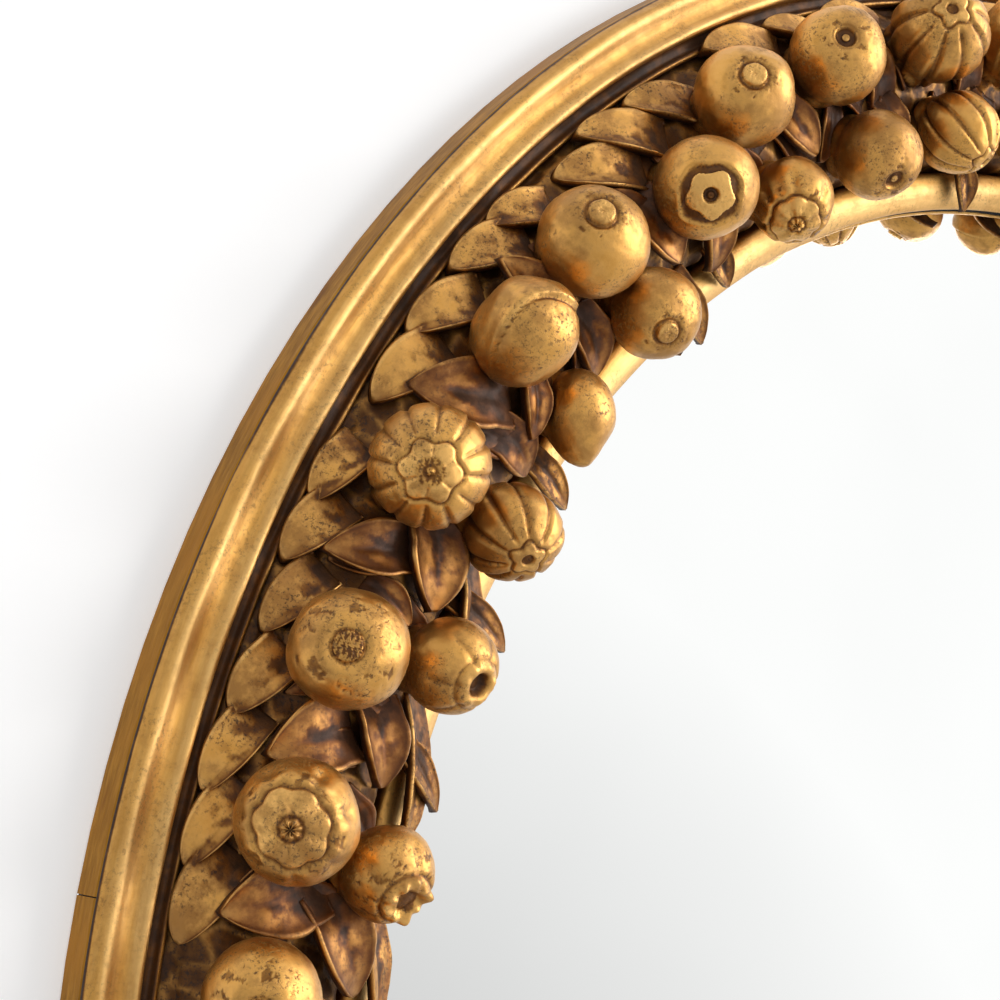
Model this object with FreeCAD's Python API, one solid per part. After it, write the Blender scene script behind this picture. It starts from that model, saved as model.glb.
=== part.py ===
import FreeCAD, Part

import math
import os

# Convex butlers mirror in a round gilded frame with a carved garland of fruit and leaves.
# Millimetres. +Z is up, +X is to the viewer's right, and the mirror faces -Y.
# The back of the frame lies on the wall plane y = 0. "Depth" is the distance out of the wall, -y.
# Angles are counter-clockwise from +X, as the viewer sees them.

Vector = FreeCAD.Vector
os.makedirs("parts", exist_ok=True)

# ---------------------------------------------------------------- driving sizes
FRAME_R = 450.0            # outer radius of the frame
BAND_DEPTH = 10.8          # thickness of the plain side band, the two back half-rings
REBATE_R = 352.0           # wall of the rebate that holds the glass
RECESS_R = 378.0           # outer wall of the shallow recess for the turn buttons
RECESS_DEPTH = 3.5
SIGHT_R = 342.4            # radius of the sight opening
SIGHT_STEP = 14.0          # depth of the step that the glazing felt bears on
LIP_R = 358.0              # joint between the sight lip and the garland bed
MOULD_R = 425.0            # joint between the garland bed and the outer moulding
FILLET_W = 2.4             # flat fillet inside the sunk line of the outer moulding
GROOVE_FLOOR = 2.4         # wood left under the sunk line
V_EDGE = 0.6               # chamfers that leave the thin dark line round the side
SEAM_ANGLE = 166.1         # where the two back half-rings meet, and again half a turn on
SEAM_GAP = 0.4

BED_ARC_R = 389.0          # the garland bed is a round-backed ring: centre and radius of its section
BED_ARC_DEPTH = -8.5
BED_ROUND = 41.5

DOME_R = 1200.0            # radius of curvature of the convex glass
GLASS_T = 3.0
GLASS_R = 350.0
GLASS_AT_SIGHT = 12.8      # depth of the glass face at the sight opening
FELT_IN = SIGHT_R + 1.0
SPACER_IN = 341.0
PACKING_OUT = GLASS_R - 0.5
BOARD_R = 351.0
BOARD_T = 3.0

BUTTONS = 6
BUTTON_R = 367.0           # where the button screws stand
BUTTON_HALF = 4.5          # half width of a button
BUTTON_REACH = 18.5        # from its screw to the centre of its round end
BUTTON_T = 1.2
BUTTON_PLAY = 0.05
BUTTON_BORE_PLAY = 0.08
BUTTON_SCREW_R = 1.5
BUTTON_HEAD_R = 3.4
BUTTON_HEAD_T = 1.6
BUTTON_SCREW_TIP = 14.0

HANGER_X = 379.0           # D-ring hanger: hinge axis position, mirrored to the other side
HANGER_Z = 170.0
POCKET_DEPTH = 7.0
POCKET_HALF = 17.0
POCKET_UP = 24.0
POCKET_DOWN = 42.0
STRAP_T = 1.2
STRAP_HALF = 8.0
STRAP_DOWN = 39.0
WIRE_R = 1.4
EYE_PLAY = 0.1
RING_HALF = 13.0           # half the bar of the D ring
RING_DROP = 20.0           # from its bar to the far side of the loop
RING_CORNER = 3.0
RING_LEAN = 6.0            # how far the hanging ring leans off the strap
HANGER_SCREW_DROPS = (25.5, 34.0)
HANGER_SCREW_R = 1.7
HANGER_HEAD_R = 3.3
HANGER_HEAD_T = 1.5
HANGER_SCREW_TIP = 16.5

FRAME_SCREWS = 10
FRAME_SCREW_RING = 416.0
FRAME_SCREW_R = 2.0
FRAME_HEAD_R = 4.0
FRAME_HEAD_T = 2.6
FRAME_SCREW_SINK = 0.3
FRAME_SCREW_TIP = 19.0
DOWELS = 10
DOWEL_RING = 438.0
DOWEL_R = 2.5
DOWEL_FROM = 4.0
DOWEL_TO = 13.4
BRADS = 12
BRAD_RING = 355.0
BRAD_R = 0.8
BRAD_FROM = 3.9
BRAD_TO = 16.5
SPLINE_LONG = 24.0
SPLINE_IN = 398.0
SPLINE_OUT = 428.0
SPLINE_FROM = 3.8
SPLINE_TO = 7.8

PIN_R = 2.0                # dowel that holds each fruit on the bed
PIN_HALF = 9.0
LEAF_T = 2.0
LEAF_CLEAR = 0.2           # between a leaf and the fruit beside it
RIB_W = 0.9                # midrib groove of a leaf
RIB_T = 0.5
QUADRANTS = ("upper_left", "upper_right", "lower_right", "lower_left")

# Fruit of one quarter of the garland: kind, angle, radius from the frame's centre, ball radius,
# how far the ball sinks into the bed, and the way its crown points as (outward, counter-clockwise,
# forward) parts.
FRUIT = (
    ("apple", 169.1, 408.6, 18.3, 3.4, (0.6, 0.2, 0.8)),
    ("pomegranate", 161.7, 408.8, 19.4, 3.4, (0.64, 0.2, 0.74)),
    ("apple", 154.0, 408.8, 19.2, 3.4, (0.59, 0.18, 0.79)),
    ("melon", 144.9, 408.4, 20.1, 3.4, (0.46, 0.46, 0.76)),
    ("plum", 136.3, 403.3, 17.0, 3.4, (0.25, -0.55, 0.8)),
    ("apple", 130.1, 405.6, 19.2, 3.4, (0.65, 0.07, 0.76)),
    ("pomegranate", 121.7, 391.2, 18.9, 6.0, (0.08, 0.68, 0.73)),
    ("apple", 116.4, 410.2, 18.6, 3.4, (0.51, 0.34, 0.79)),
    ("apple", 108.6, 409.8, 18.6, 3.4, (0.43, 0.47, 0.77)),
    ("melon", 100.0, 410.2, 20.0, 3.4, (0.38, 0.5, 0.78)),
    ("plum", 92.4, 408.6, 17.0, 3.4, (0.5, 0.3, 0.8)),
    ("apple", 85.6, 408.8, 18.6, 3.4, (0.6, 0.2, 0.78)),
    ("pomegranate", 162.8, 368.5, 15.5, 2.0, (0.01, 0.32, 0.95)),
    ("pomegranate", 152.1, 366.3, 15.8, 2.0, (-0.23, 0.33, 0.92)),
    ("melon", 144.3, 366.0, 16.8, 2.0, (-0.1, 0.62, 0.78)),
    ("lemon", 135.9, 361.9, 12.5, 2.0, (-0.6, 0.78, 0.17)),
    ("apple", 128.6, 368.4, 16.4, 2.0, (-0.2, 0.61, 0.77)),
    ("pomegranate", 115.1, 367.3, 15.7, 2.0, (-0.42, 0.73, 0.55)),
    ("apple", 107.2, 369.1, 17.2, 2.0, (-0.64, 0.36, 0.68)),
    ("melon", 99.3, 371.0, 16.6, 2.0, (-0.79, -0.1, 0.6)),
    ("apple", 90.8, 369.0, 16.2, 2.0, (-0.5, 0.4, 0.77)),
    ("plum", 82.4, 368.8, 15.0, 2.0, (-0.4, 0.4, 0.82)),
)
KINDS = ("apple", "pomegranate", "melon", "plum", "lemon")

# Leaves of one quarter: base angle and radius, tip angle and radius, width, depth of the tip
# and rise of the arch. The base is let into the bed.
OUTER_LEAVES = (
    (163.4, 411.0, 167.4, 424.0, 14.0, 19.2, 3.2),
    (160.6, 413.0, 164.3, 426.0, 12.0, 19.0, 3.0),
    (157.4, 414.0, 161.2, 426.0, 12.0, 19.0, 3.0),
    (154.6, 412.0, 157.8, 424.0, 13.0, 19.2, 3.0),
    (150.6, 411.0, 154.1, 423.0, 12.0, 19.4, 3.0),
    (147.4, 413.0, 150.9, 425.5, 13.0, 19.0, 3.0),
    (144.6, 416.0, 148.0, 424.5, 12.0, 19.2, 3.0),
    (138.4, 410.0, 142.5, 422.5, 15.0, 20.0, 4.0),
    (135.0, 410.0, 138.8, 425.0, 14.0, 19.2, 3.4),
    (131.0, 411.0, 134.9, 426.0, 14.0, 19.2, 3.2),
    (128.6, 413.0, 131.8, 426.0, 12.0, 19.0, 2.6),
    (123.0, 402.0, 127.2, 421.0, 14.0, 21.0, 4.0),
    (120.6, 405.0, 124.5, 427.0, 14.0, 19.4, 3.6),
    (117.2, 408.0, 120.9, 425.0, 13.0, 19.4, 3.0),
    (109.7, 412.0, 114.3, 428.0, 15.0, 19.4, 3.4),
    (106.2, 413.0, 109.6, 427.0, 11.0, 19.2, 3.0),
    (101.2, 412.0, 105.0, 426.0, 13.0, 19.2, 3.2),
    (94.2, 411.0, 98.0, 425.5, 14.0, 19.2, 3.2),
    (88.2, 412.0, 91.9, 426.0, 13.0, 19.2, 3.2),
    (81.8, 411.0, 85.6, 425.0, 13.0, 19.2, 3.2),
)
MIDDLE_LEAVES = (
    (163.6, 385.0, 165.9, 418.0, 19.0, 31.0, 3.5),
    (156.6, 388.0, 159.1, 415.0, 18.0, 32.0, 3.5),
    (147.6, 391.0, 149.9, 419.0, 14.0, 29.0, 3.5),
    (145.9, 389.0, 149.8, 375.0, 18.0, 35.0, 3.0),
    (150.4, 402.0, 151.2, 384.0, 9.0, 38.0, 2.0),
    (155.0, 384.0, 158.8, 371.0, 14.0, 34.0, 3.0),
    (163.9, 386.0, 168.9, 362.0, 17.0, 30.0, 5.0),
    (138.0, 386.0, 141.3, 419.0, 18.0, 29.0, 4.0),
    (139.9, 385.0, 140.0, 362.0, 13.0, 29.0, 3.0),
    (136.0, 387.0, 139.0, 372.0, 9.0, 36.0, 2.5),
    (131.8, 388.0, 132.6, 362.0, 13.0, 30.0, 3.0),
    (133.0, 391.0, 133.6, 420.0, 14.0, 33.0, 4.0),
    (124.6, 400.0, 124.3, 372.0, 15.0, 37.0, 3.0),
    (119.6, 384.0, 120.6, 356.0, 12.0, 26.0, 4.0),
    (112.4, 402.0, 111.2, 377.0, 13.0, 38.0, 2.5),
    (112.2, 396.0, 112.9, 420.0, 14.0, 28.0, 3.0),
    (103.8, 390.0, 103.4, 368.0, 12.0, 34.0, 3.0),
    (103.6, 388.0, 104.6, 417.0, 14.4, 30.0, 3.2),
    (95.6, 389.0, 96.4, 416.0, 14.0, 31.0, 3.5),
    (95.8, 388.0, 94.8, 364.0, 12.0, 31.0, 3.0),
    (88.6, 389.0, 89.2, 416.0, 13.0, 31.0, 3.5),
    (86.8, 387.0, 86.2, 364.0, 12.0, 31.0, 3.0),
    (81.6, 396.0, 82.2, 417.0, 12.0, 29.0, 3.0),
)
INNER_LEAVES = (
    (155.8, 366.0, 158.6, 336.5, 10.0, 22.0, 3.0),
    (147.7, 363.0, 148.5, 332.0, 10.0, 22.4, 3.0),
    (138.6, 364.0, 138.9, 336.0, 10.0, 22.0, 3.0),
    (123.6, 366.0, 123.2, 335.0, 11.0, 22.0, 3.0),
    (119.9, 366.0, 119.3, 346.0, 9.0, 22.6, 2.0),
    (95.2, 364.0, 94.6, 341.0, 9.0, 22.0, 3.0),
    (86.6, 364.0, 87.0, 338.0, 9.0, 22.0, 3.0),
)


# ---------------------------------------------------------------- helpers
def at(angle, radius, depth):
    """Point at an angle and radius on the frame, at a depth out of the wall."""
    turn = math.radians(angle)
    return Vector(radius * math.cos(turn), -depth, radius * math.sin(turn))


def directions(angle):
    """Outward, counter-clockwise and forward directions at an angle on the frame."""
    turn = math.radians(angle)
    outward = Vector(math.cos(turn), 0, math.sin(turn))
    around = Vector(-math.sin(turn), 0, math.cos(turn))
    return outward, around, Vector(0, -1, 0)


def section_wire(steps, parts):
    """Closed section from points (radius, depth); a step of two points is an arc, made in parts."""
    edges = []
    here = Vector(steps[0][0], -steps[0][1], 0)
    first = here
    for step in steps[1:]:
        if isinstance(step[0], tuple):
            middle = Vector(step[0][0], -step[0][1], 0)
            there = Vector(step[1][0], -step[1][1], 0)
            spots = Part.Arc(here, middle, there).toShape().discretize(2 * parts + 1)
            spots = [here] + spots[1:-1] + [there]
            for index in range(0, 2 * parts, 2):
                edges.append(Part.Arc(*spots[index:index + 3]).toShape())
        else:
            there = Vector(step[0], -step[1], 0)
            edges.append(Part.makeLine(here, there))
        here = there
    if (here - first).Length > 1e-6:
        edges.append(Part.makeLine(here, first))
    return Part.Wire(edges)


def turned(steps, start=0.0, sweep=360.0, parts=1):
    """Ring turned from a section, from a start angle through a sweep, counter-clockwise."""
    face = Part.Face(section_wire(steps, parts))
    face.rotate(Vector(0, 0, 0), Vector(0, 1, 0), -start)
    return face.revolve(Vector(0, 0, 0), Vector(0, -1, 0), sweep)


def rod(angle, ring, radius, low, high):
    """Cylinder square to the wall, between two depths."""
    return Part.makeCylinder(radius, high - low, at(angle, ring, low), Vector(0, -1, 0))


def screw(foot, shank_r, head_r, head_t, head_low, tip, countersunk):
    """Wood screw square to the wall: its head starts at depth head_low and its point is at tip."""
    base = Vector(foot.x, 0, foot.z)
    under = head_low + head_t
    if countersunk:
        steps = [(0, head_low), (head_r, head_low), (shank_r, under)]
    else:
        steps = [(0, head_low), (head_r * 0.7, head_low), (head_r, head_low + head_t * 0.55)]
        steps.append((head_r, under))
        steps.append((shank_r, under))
    steps.append((shank_r, tip - 2.0 * shank_r))
    steps.append((0.0, tip))
    body = turned(steps)
    slot_w = head_r * 0.22
    slot = Part.makeBox(
        2.2 * head_r, head_t * 0.4, slot_w, Vector(-1.1 * head_r, -head_low - head_t * 0.4, -slot_w / 2)
    )
    body = body.cut(slot)
    body.translate(base)
    return body


def solid_of(shape):
    """The largest solid of a result."""
    found = shape.Solids
    if not found:
        return None
    return max(found, key=lambda one: one.Volume)


def quarter_turned(shape, quarter):
    """Copy of a shape turned clockwise by so many quarters."""
    copy = shape.copy()
    if quarter:
        copy.rotate(Vector(0, 0, 0), Vector(0, 1, 0), 90.0 * quarter)
    return copy


def near(one, other, gap=0.5):
    """Whether two shapes' boxes come within a gap."""
    box = one.BoundBox
    box.enlarge(gap)
    return box.intersect(other.BoundBox)


def write(node, shapes):
    """Writes one node: a single solid or several."""
    shape = shapes[0] if len(shapes) == 1 else Part.makeCompound(shapes)
    shape.exportStep("parts/" + node + ".step")
    closed = all(one.isValid() and one.isClosed() for one in shape.Solids)
    print(node, len(shape.Solids), "solids", len(shape.Faces), "faces", "closed" if closed else "OPEN")


# ---------------------------------------------------------------- profiles of the rings
def bed_height(radius):
    """Depth of the garland bed's round back at a radius."""
    return BED_ARC_DEPTH + math.sqrt(BED_ROUND ** 2 - (radius - BED_ARC_R) ** 2)


def dome_depth(radius, face_r):
    """Depth of a glass surface at a radius: the front has radius DOME_R, the back less the thickness."""
    centre = GLASS_AT_SIGHT - math.sqrt(DOME_R ** 2 - SIGHT_R ** 2)
    return centre + math.sqrt(face_r ** 2 - radius ** 2)


BACK_SECTION = [
    (REBATE_R, RECESS_DEPTH),
    (RECESS_R, RECESS_DEPTH),
    (RECESS_R, 0.0),
    (FRAME_R - V_EDGE, 0.0),
    (FRAME_R, V_EDGE),
    (FRAME_R, BAND_DEPTH - V_EDGE),
    (FRAME_R - V_EDGE, BAND_DEPTH),
    (REBATE_R, BAND_DEPTH),
]
MOULDING_ARC_PARTS = 3     # each arc of the moulding is cut in so many, so that it meshes closely
MOULDING_SECTION = [
    (MOULD_R, BAND_DEPTH),
    (FRAME_R - V_EDGE, BAND_DEPTH),
    (FRAME_R, BAND_DEPTH + V_EDGE),
    (FRAME_R, BAND_DEPTH + 1.4),
    ((FRAME_R - 1.4, BAND_DEPTH + 4.6), (FRAME_R - 5.2, BAND_DEPTH + 5.8)),
    ((FRAME_R - 9.6, BAND_DEPTH + 4.4), (FRAME_R - 13.6, BAND_DEPTH + 6.4)),
    ((FRAME_R - 15.6, BAND_DEPTH + 7.8), (FRAME_R - 17.5, BAND_DEPTH + 6.0)),
    (FRAME_R - 18.0, BAND_DEPTH + GROOVE_FLOOR),
    (MOULD_R + FILLET_W + 0.3, BAND_DEPTH + GROOVE_FLOOR),
    (MOULD_R + FILLET_W, BAND_DEPTH + 5.4),
    (MOULD_R, BAND_DEPTH + 5.0),
]
BED_SECTION = [
    (LIP_R, BAND_DEPTH),
    (MOULD_R, BAND_DEPTH),
    (MOULD_R, bed_height(MOULD_R)),
    ((BED_ARC_R, BED_ARC_DEPTH + BED_ROUND), (LIP_R, bed_height(LIP_R))),
]
LIP_SECTION = [
    (REBATE_R, BAND_DEPTH),
    (LIP_R, BAND_DEPTH),
    (LIP_R, bed_height(LIP_R) - 0.6),
    ((REBATE_R + 0.6, 20.0), (SIGHT_R + 3.2, 17.6)),
    (SIGHT_R, 15.6),
    (SIGHT_R, SIGHT_STEP),
    (REBATE_R, SIGHT_STEP),
]
FRONT = DOME_R
BACK = DOME_R - GLASS_T
GLASS_SECTION = [
    (0.0, dome_depth(0.0, BACK)),
    (0.0, dome_depth(0.0, FRONT)),
    ((GLASS_R / 2, dome_depth(GLASS_R / 2, FRONT)), (GLASS_R, dome_depth(GLASS_R, FRONT))),
    (GLASS_R, dome_depth(GLASS_R, BACK)),
    ((GLASS_R / 2, dome_depth(GLASS_R / 2, BACK)), (0.0, dome_depth(0.0, BACK))),
]
FELT_SECTION = [
    (FELT_IN, SIGHT_STEP),
    (FELT_IN, dome_depth(FELT_IN, FRONT)),
    (PACKING_OUT, dome_depth(FELT_IN, FRONT)),
    (PACKING_OUT, SIGHT_STEP),
]
SPACER_SECTION = [
    (SPACER_IN, RECESS_DEPTH + BOARD_T),
    (SPACER_IN, dome_depth(GLASS_R, BACK)),
    (GLASS_R, dome_depth(GLASS_R, BACK)),
    (GLASS_R, RECESS_DEPTH + BOARD_T),
]


# ---------------------------------------------------------------- fruit
def crown_notches(count, ring, radius, low, high, spin=0.0):
    """Upright round cutters on a circle, which part the lobes of a crown."""
    cutters = []
    for index in range(count):
        turn = math.radians(spin + 360.0 * index / count)
        foot = Vector(ring * math.cos(turn), ring * math.sin(turn), low)
        cutters.append(Part.makeCylinder(radius, high - low, foot))
    return cutters


def spun(points):
    """Solid of revolution about +Z from (radius, height) points; a pair of points is an arc."""
    edges = []
    here = Vector(points[0][0], 0, points[0][1])
    first = here
    for step in points[1:]:
        if isinstance(step[0], tuple):
            middle = Vector(step[0][0], 0, step[0][1])
            there = Vector(step[1][0], 0, step[1][1])
            edges.append(Part.Arc(here, middle, there).toShape())
        else:
            there = Vector(step[0], 0, step[1])
            edges.append(Part.makeLine(here, there))
        here = there
    edges.append(Part.makeLine(here, first))
    return Part.Face(Part.Wire(edges)).revolve(Vector(0, 0, 0), Vector(0, 0, 1), 360)


def ball_point(radius, rise):
    """Point on the ball's outline at an elevation in degrees."""
    turn = math.radians(rise)
    return (radius * math.cos(turn), radius * math.sin(turn))


def apple(size):
    """Round apple with a dimple and a raised button in it."""
    return spun([
        (0, -size),
        (ball_point(size, -10.0), ball_point(size, 68.0)),
        ((0.27 * size, 0.925 * size), (0.18 * size, 0.85 * size)),
        (0.15 * size, 0.82 * size),
        ((0.12 * size, 0.88 * size), (0.06 * size, 0.9 * size)),
        (0.0, 0.9 * size),
    ])


def pomegranate(size):
    """Round pomegranate with a five-lobed crown standing in a shallow recess."""
    body = spun([
        (0, -size),
        (ball_point(size, -15.0), ball_point(size, 58.0)),
        (0.47 * size, 0.8 * size),
        (0.37 * size, 0.83 * size),
        (0.36 * size, 0.97 * size),
        (0.24 * size, 1.01 * size),
        (0.13 * size, 0.88 * size),
        (0.0, 0.86 * size),
    ])
    return body.cut(crown_notches(5, 0.37 * size, 0.085 * size, 0.885 * size, 1.2 * size))


def melon(size):
    """Ribbed melon with grooves from crown to foot and a flat six-lobed flower on top."""
    body = Part.makeSphere(size)
    grooves = []
    for index in range(10):
        groove = Part.makeTorus(1.03 * size, 0.1 * size, Vector(), Vector(0, 0, 1), 0, 360, 105)
        groove.rotate(Vector(), Vector(0, 0, 1), -45)
        groove.rotate(Vector(), Vector(1, 0, 0), 90)
        groove.rotate(Vector(), Vector(0, 0, 1), 36.0 * index)
        grooves.append(groove)
    body = body.cut(grooves)
    flower = Part.makeCylinder(0.4 * size, 0.2 * size, Vector(0, 0, 0.83 * size))
    body = body.fuse(flower)
    cutters = crown_notches(6, 0.42 * size, 0.085 * size, 0.935 * size, 1.2 * size)
    cutters.append(Part.makeCylinder(0.1 * size, size, Vector(0, 0, 0.95 * size)))
    return body.cut(cutters)


def plum(size):
    """Plum: two round ends a little apart, with a dimple and a seam down one side."""
    shift = 0.12 * size
    diagonal = size * math.sqrt(0.5)
    top = ball_point(size, 82.0)
    body = spun([
        (0, -size - shift),
        ((diagonal, -diagonal - shift), (size, -shift)),
        (size, shift),
        ((diagonal, diagonal + shift), (top[0], top[1] + shift)),
        (0.08 * size, 0.93 * size + shift),
        (0.0, 0.92 * size + shift),
    ])
    seam = Part.makeTorus(1.06 * size, 0.1 * size, Vector(), Vector(0, 1, 0), 0, 360, 110)
    seam.rotate(Vector(), Vector(0, 1, 0), 55)
    return body.cut(seam)


def lemon(size):
    """Lemon: two round ends apart, each drawn out to a blunt nipple."""
    shift = 0.24 * size
    shoulder = ball_point(size, 60.0)
    bend = ball_point(size, 30.0)
    return spun([
        (0, -1.44 * size),
        (0.14 * size, -1.40 * size),
        (0.2 * size, -1.28 * size),
        (shoulder[0], -shoulder[1] - shift),
        ((bend[0], -bend[1] - shift), (size, -shift)),
        (size, shift),
        ((bend[0], bend[1] + shift), (shoulder[0], shoulder[1] + shift)),
        (0.2 * size, 1.28 * size),
        (0.14 * size, 1.46 * size),
        (0.0, 1.5 * size),
    ])


MAKERS = {"apple": apple, "pomegranate": pomegranate, "melon": melon, "plum": plum, "lemon": lemon}
LENGTHS = {"apple": 1.0, "pomegranate": 1.0, "melon": 1.03, "plum": 1.12, "lemon": 1.5}


def fruit_centre(angle, radius, size, sink):
    """Centre of a fruit that sits on the bed, sunk by a given amount."""
    reach = BED_ROUND + size - sink
    depth = BED_ARC_DEPTH + math.sqrt(reach ** 2 - (radius - BED_ARC_R) ** 2)
    return at(angle, radius, depth)


def crown_turn(angle, parts):
    """Rotation that points +Z along the crown."""
    outward, around, forward = directions(angle)
    aim = outward * parts[0] + around * parts[1] + forward * parts[2]
    return FreeCAD.Rotation(Vector(0, 0, 1), aim.normalize())


def placed(shape, angle, centre, parts):
    """A fruit moved from the origin to its place."""
    copy = shape.copy()
    copy.Placement = FreeCAD.Placement(centre, crown_turn(angle, parts))
    return copy


def envelope(kind, size, centre, angle, parts):
    """Room that the leaves keep clear of round a fruit."""
    if LENGTHS[kind] <= 1.05:
        return Part.makeSphere(size * LENGTHS[kind] + LEAF_CLEAR, centre)
    grown = MAKERS[kind](size + LEAF_CLEAR)
    return placed(solid_of(grown), angle, centre, parts)


def pin_for(centre, angle):
    """Dowel from a fruit into the bed, square to the bed's back."""
    heart = at(angle, BED_ARC_R, BED_ARC_DEPTH)
    aim = (centre - heart).normalize()
    start = heart + aim * (BED_ROUND - PIN_HALF)
    return Part.makeCylinder(PIN_R, 2 * PIN_HALF, start, aim)


# ---------------------------------------------------------------- leaves
def leaf_blank(base, tip, normal, width, rise):
    """Pointed leaf bent to an arch from base to tip, with a midrib groove."""
    chord = tip - base
    length = chord.Length
    along = chord * (1.0 / length)
    across = normal.cross(along).normalize()
    up = along.cross(across)
    middle = base + chord * 0.5
    bend = (length ** 2 / 4 + rise ** 2) / (2 * rise)
    heart = middle + up * (rise - bend)
    half_turn = math.asin(length / 2 / bend)

    def on_arc(radius, turn):
        return heart + along * (radius * math.sin(turn)) + up * (radius * math.cos(turn))

    high = bend + LEAF_T / 2
    low = bend - LEAF_T / 2
    corners = ((high, -half_turn), (high, half_turn), (low, half_turn), (low, -half_turn))
    ends = [on_arc(radius, turn) for radius, turn in corners]
    edges = [
        Part.Arc(ends[0], on_arc(high, 0), ends[1]).toShape(),
        Part.makeLine(ends[1], ends[2]),
        Part.Arc(ends[2], on_arc(low, 0), ends[3]).toShape(),
        Part.makeLine(ends[3], ends[0]),
    ]
    slab = Part.Face(Part.Wire(edges))
    slab.translate(across * (-0.6 * width))
    slab = slab.extrude(across * (1.2 * width))

    tall = rise + LEAF_T + 3.0
    foot = middle - up * tall
    heel = foot - along * (0.52 * length)
    point = foot + along * (0.52 * length)
    belly = foot - along * (0.06 * length)
    sides = [
        Part.Arc(heel, belly + across * (width / 2), point).toShape(),
        Part.Arc(point, belly - across * (width / 2), heel).toShape(),
    ]
    prism = Part.Face(Part.Wire(sides)).extrude(up * (2 * tall))
    leaf = slab.common(prism)

    rib = Part.makeCylinder(high + 1.0, RIB_W, heart - across * (RIB_W / 2), across)
    rib = rib.cut(Part.makeCylinder(high - RIB_T, RIB_W, heart - across * (RIB_W / 2), across))
    return solid_of(leaf.cut(rib))


def leaf_row(rows, cutters, wood):
    """Leaves of one row, each trimmed by the wood, the fruit and the leaves before it."""
    made = []
    for row in rows:
        base_angle, base_r, tip_angle, tip_r, width, tip_depth, rise = row
        base = at(base_angle, base_r, bed_height(base_r) - 1.0)
        tip = at(tip_angle, tip_r, tip_depth)
        middle_angle = (base_angle + tip_angle) / 2
        outward, _around, forward = directions(middle_angle)
        middle_r = (base_r + tip_r) / 2
        lean = 0.6 * (middle_r - BED_ARC_R)
        normal = outward * lean + forward * (0.5 * (tip_depth + bed_height(base_r)) + 8.0)
        leaf = leaf_blank(base, tip, normal.normalize(), width, rise)
        touching = [one for one in cutters if near(leaf, one)]
        leaf = solid_of(leaf.cut(wood + touching))
        if leaf is None or leaf.Volume < 25.0:
            print("leaf lost", row)
            continue
        if leaf.distToShape(wood[0])[0] > 0.01:
            print("leaf clear of the bed", row, round(leaf.distToShape(wood[0])[0], 2))
        made.append(leaf)
        cutters.extend(quarter_turned(leaf, quarter) for quarter in (-1, 0, 1))
    return made


# ---------------------------------------------------------------- hangers
def d_ring(x_centre):
    """D-shaped wire ring: straight bar in the eye, round at the far side, leaning off the strap."""
    straight = RING_DROP - RING_HALF
    wires = []

    def line(start, end):
        wires.append(Part.makeCylinder(WIRE_R, (end - start).Length, start, end - start))

    def bend(centre, radius, start, sweep):
        part = Part.makeTorus(radius, WIRE_R, Vector(), Vector(0, 0, 1), 0, 360, sweep)
        part.rotate(Vector(), Vector(0, 0, 1), start)
        part.rotate(Vector(), Vector(1, 0, 0), 90)
        part.translate(centre)
        wires.append(part)

    inner = RING_HALF - RING_CORNER
    line(Vector(-inner, 0, 0), Vector(inner, 0, 0))
    bend(Vector(inner, 0, -RING_CORNER), RING_CORNER, 0, 90)
    bend(Vector(-inner, 0, -RING_CORNER), RING_CORNER, 90, 90)
    line(Vector(RING_HALF, 0, -straight), Vector(RING_HALF, 0, -RING_CORNER))
    line(Vector(-RING_HALF, 0, -straight), Vector(-RING_HALF, 0, -RING_CORNER))
    bend(Vector(0, 0, -straight), RING_HALF, 180, 180)
    ring = wires[0].fuse(wires[1:])
    ring.rotate(Vector(), Vector(1, 0, 0), RING_LEAN)
    ring.translate(Vector(x_centre, -EYE_DEPTH, HANGER_Z))
    return solid_of(ring)


EYE_IN = WIRE_R + EYE_PLAY
EYE_OUT = EYE_IN + STRAP_T
EYE_DEPTH = POCKET_DEPTH - EYE_OUT


def strap(x_centre):
    """Strap screwed to the floor of the pocket, its upper end rolled into an eye for the ring."""
    def spot(radius, turn):
        angle = math.radians(turn)
        return Vector(0, -EYE_DEPTH - radius * math.cos(angle), HANGER_Z + radius * math.sin(angle))

    foot = HANGER_Z - STRAP_DOWN
    low = [Vector(0, -POCKET_DEPTH, foot), Vector(0, -POCKET_DEPTH + STRAP_T, foot)]
    edges = [
        Part.makeLine(low[0], spot(EYE_OUT, 0)),
        Part.Arc(spot(EYE_OUT, 0), spot(EYE_OUT, 140), spot(EYE_OUT, 285)).toShape(),
        Part.makeLine(spot(EYE_OUT, 285), spot(EYE_IN, 285)),
        Part.Arc(spot(EYE_IN, 285), spot(EYE_IN, 140), spot(EYE_IN, 0)).toShape(),
        Part.makeLine(spot(EYE_IN, 0), low[1]),
        Part.makeLine(low[1], low[0]),
    ]
    face = Part.Face(Part.Wire(edges))
    face.translate(Vector(x_centre - STRAP_HALF, 0, 0))
    return face.extrude(Vector(2 * STRAP_HALF, 0, 0))


# ---------------------------------------------------------------- frame
seams = (SEAM_ANGLE, SEAM_ANGLE + 180.0)
half_gap = math.degrees(SEAM_GAP / 2 / FRAME_R)
lower_back = turned(BACK_SECTION, seams[0] + half_gap, 180.0 - 2 * half_gap)
upper_back = turned(BACK_SECTION, seams[1] + half_gap, 180.0 - 2 * half_gap)
moulding = turned(MOULDING_SECTION, parts=MOULDING_ARC_PARTS)
bed = turned(BED_SECTION)
lip = turned(LIP_SECTION)
glass = turned(GLASS_SECTION)
felt = turned(FELT_SECTION)
spacer = turned(SPACER_SECTION)
board = Part.makeCylinder(BOARD_R, BOARD_T, Vector(0, -RECESS_DEPTH, 0), Vector(0, -1, 0))

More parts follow.
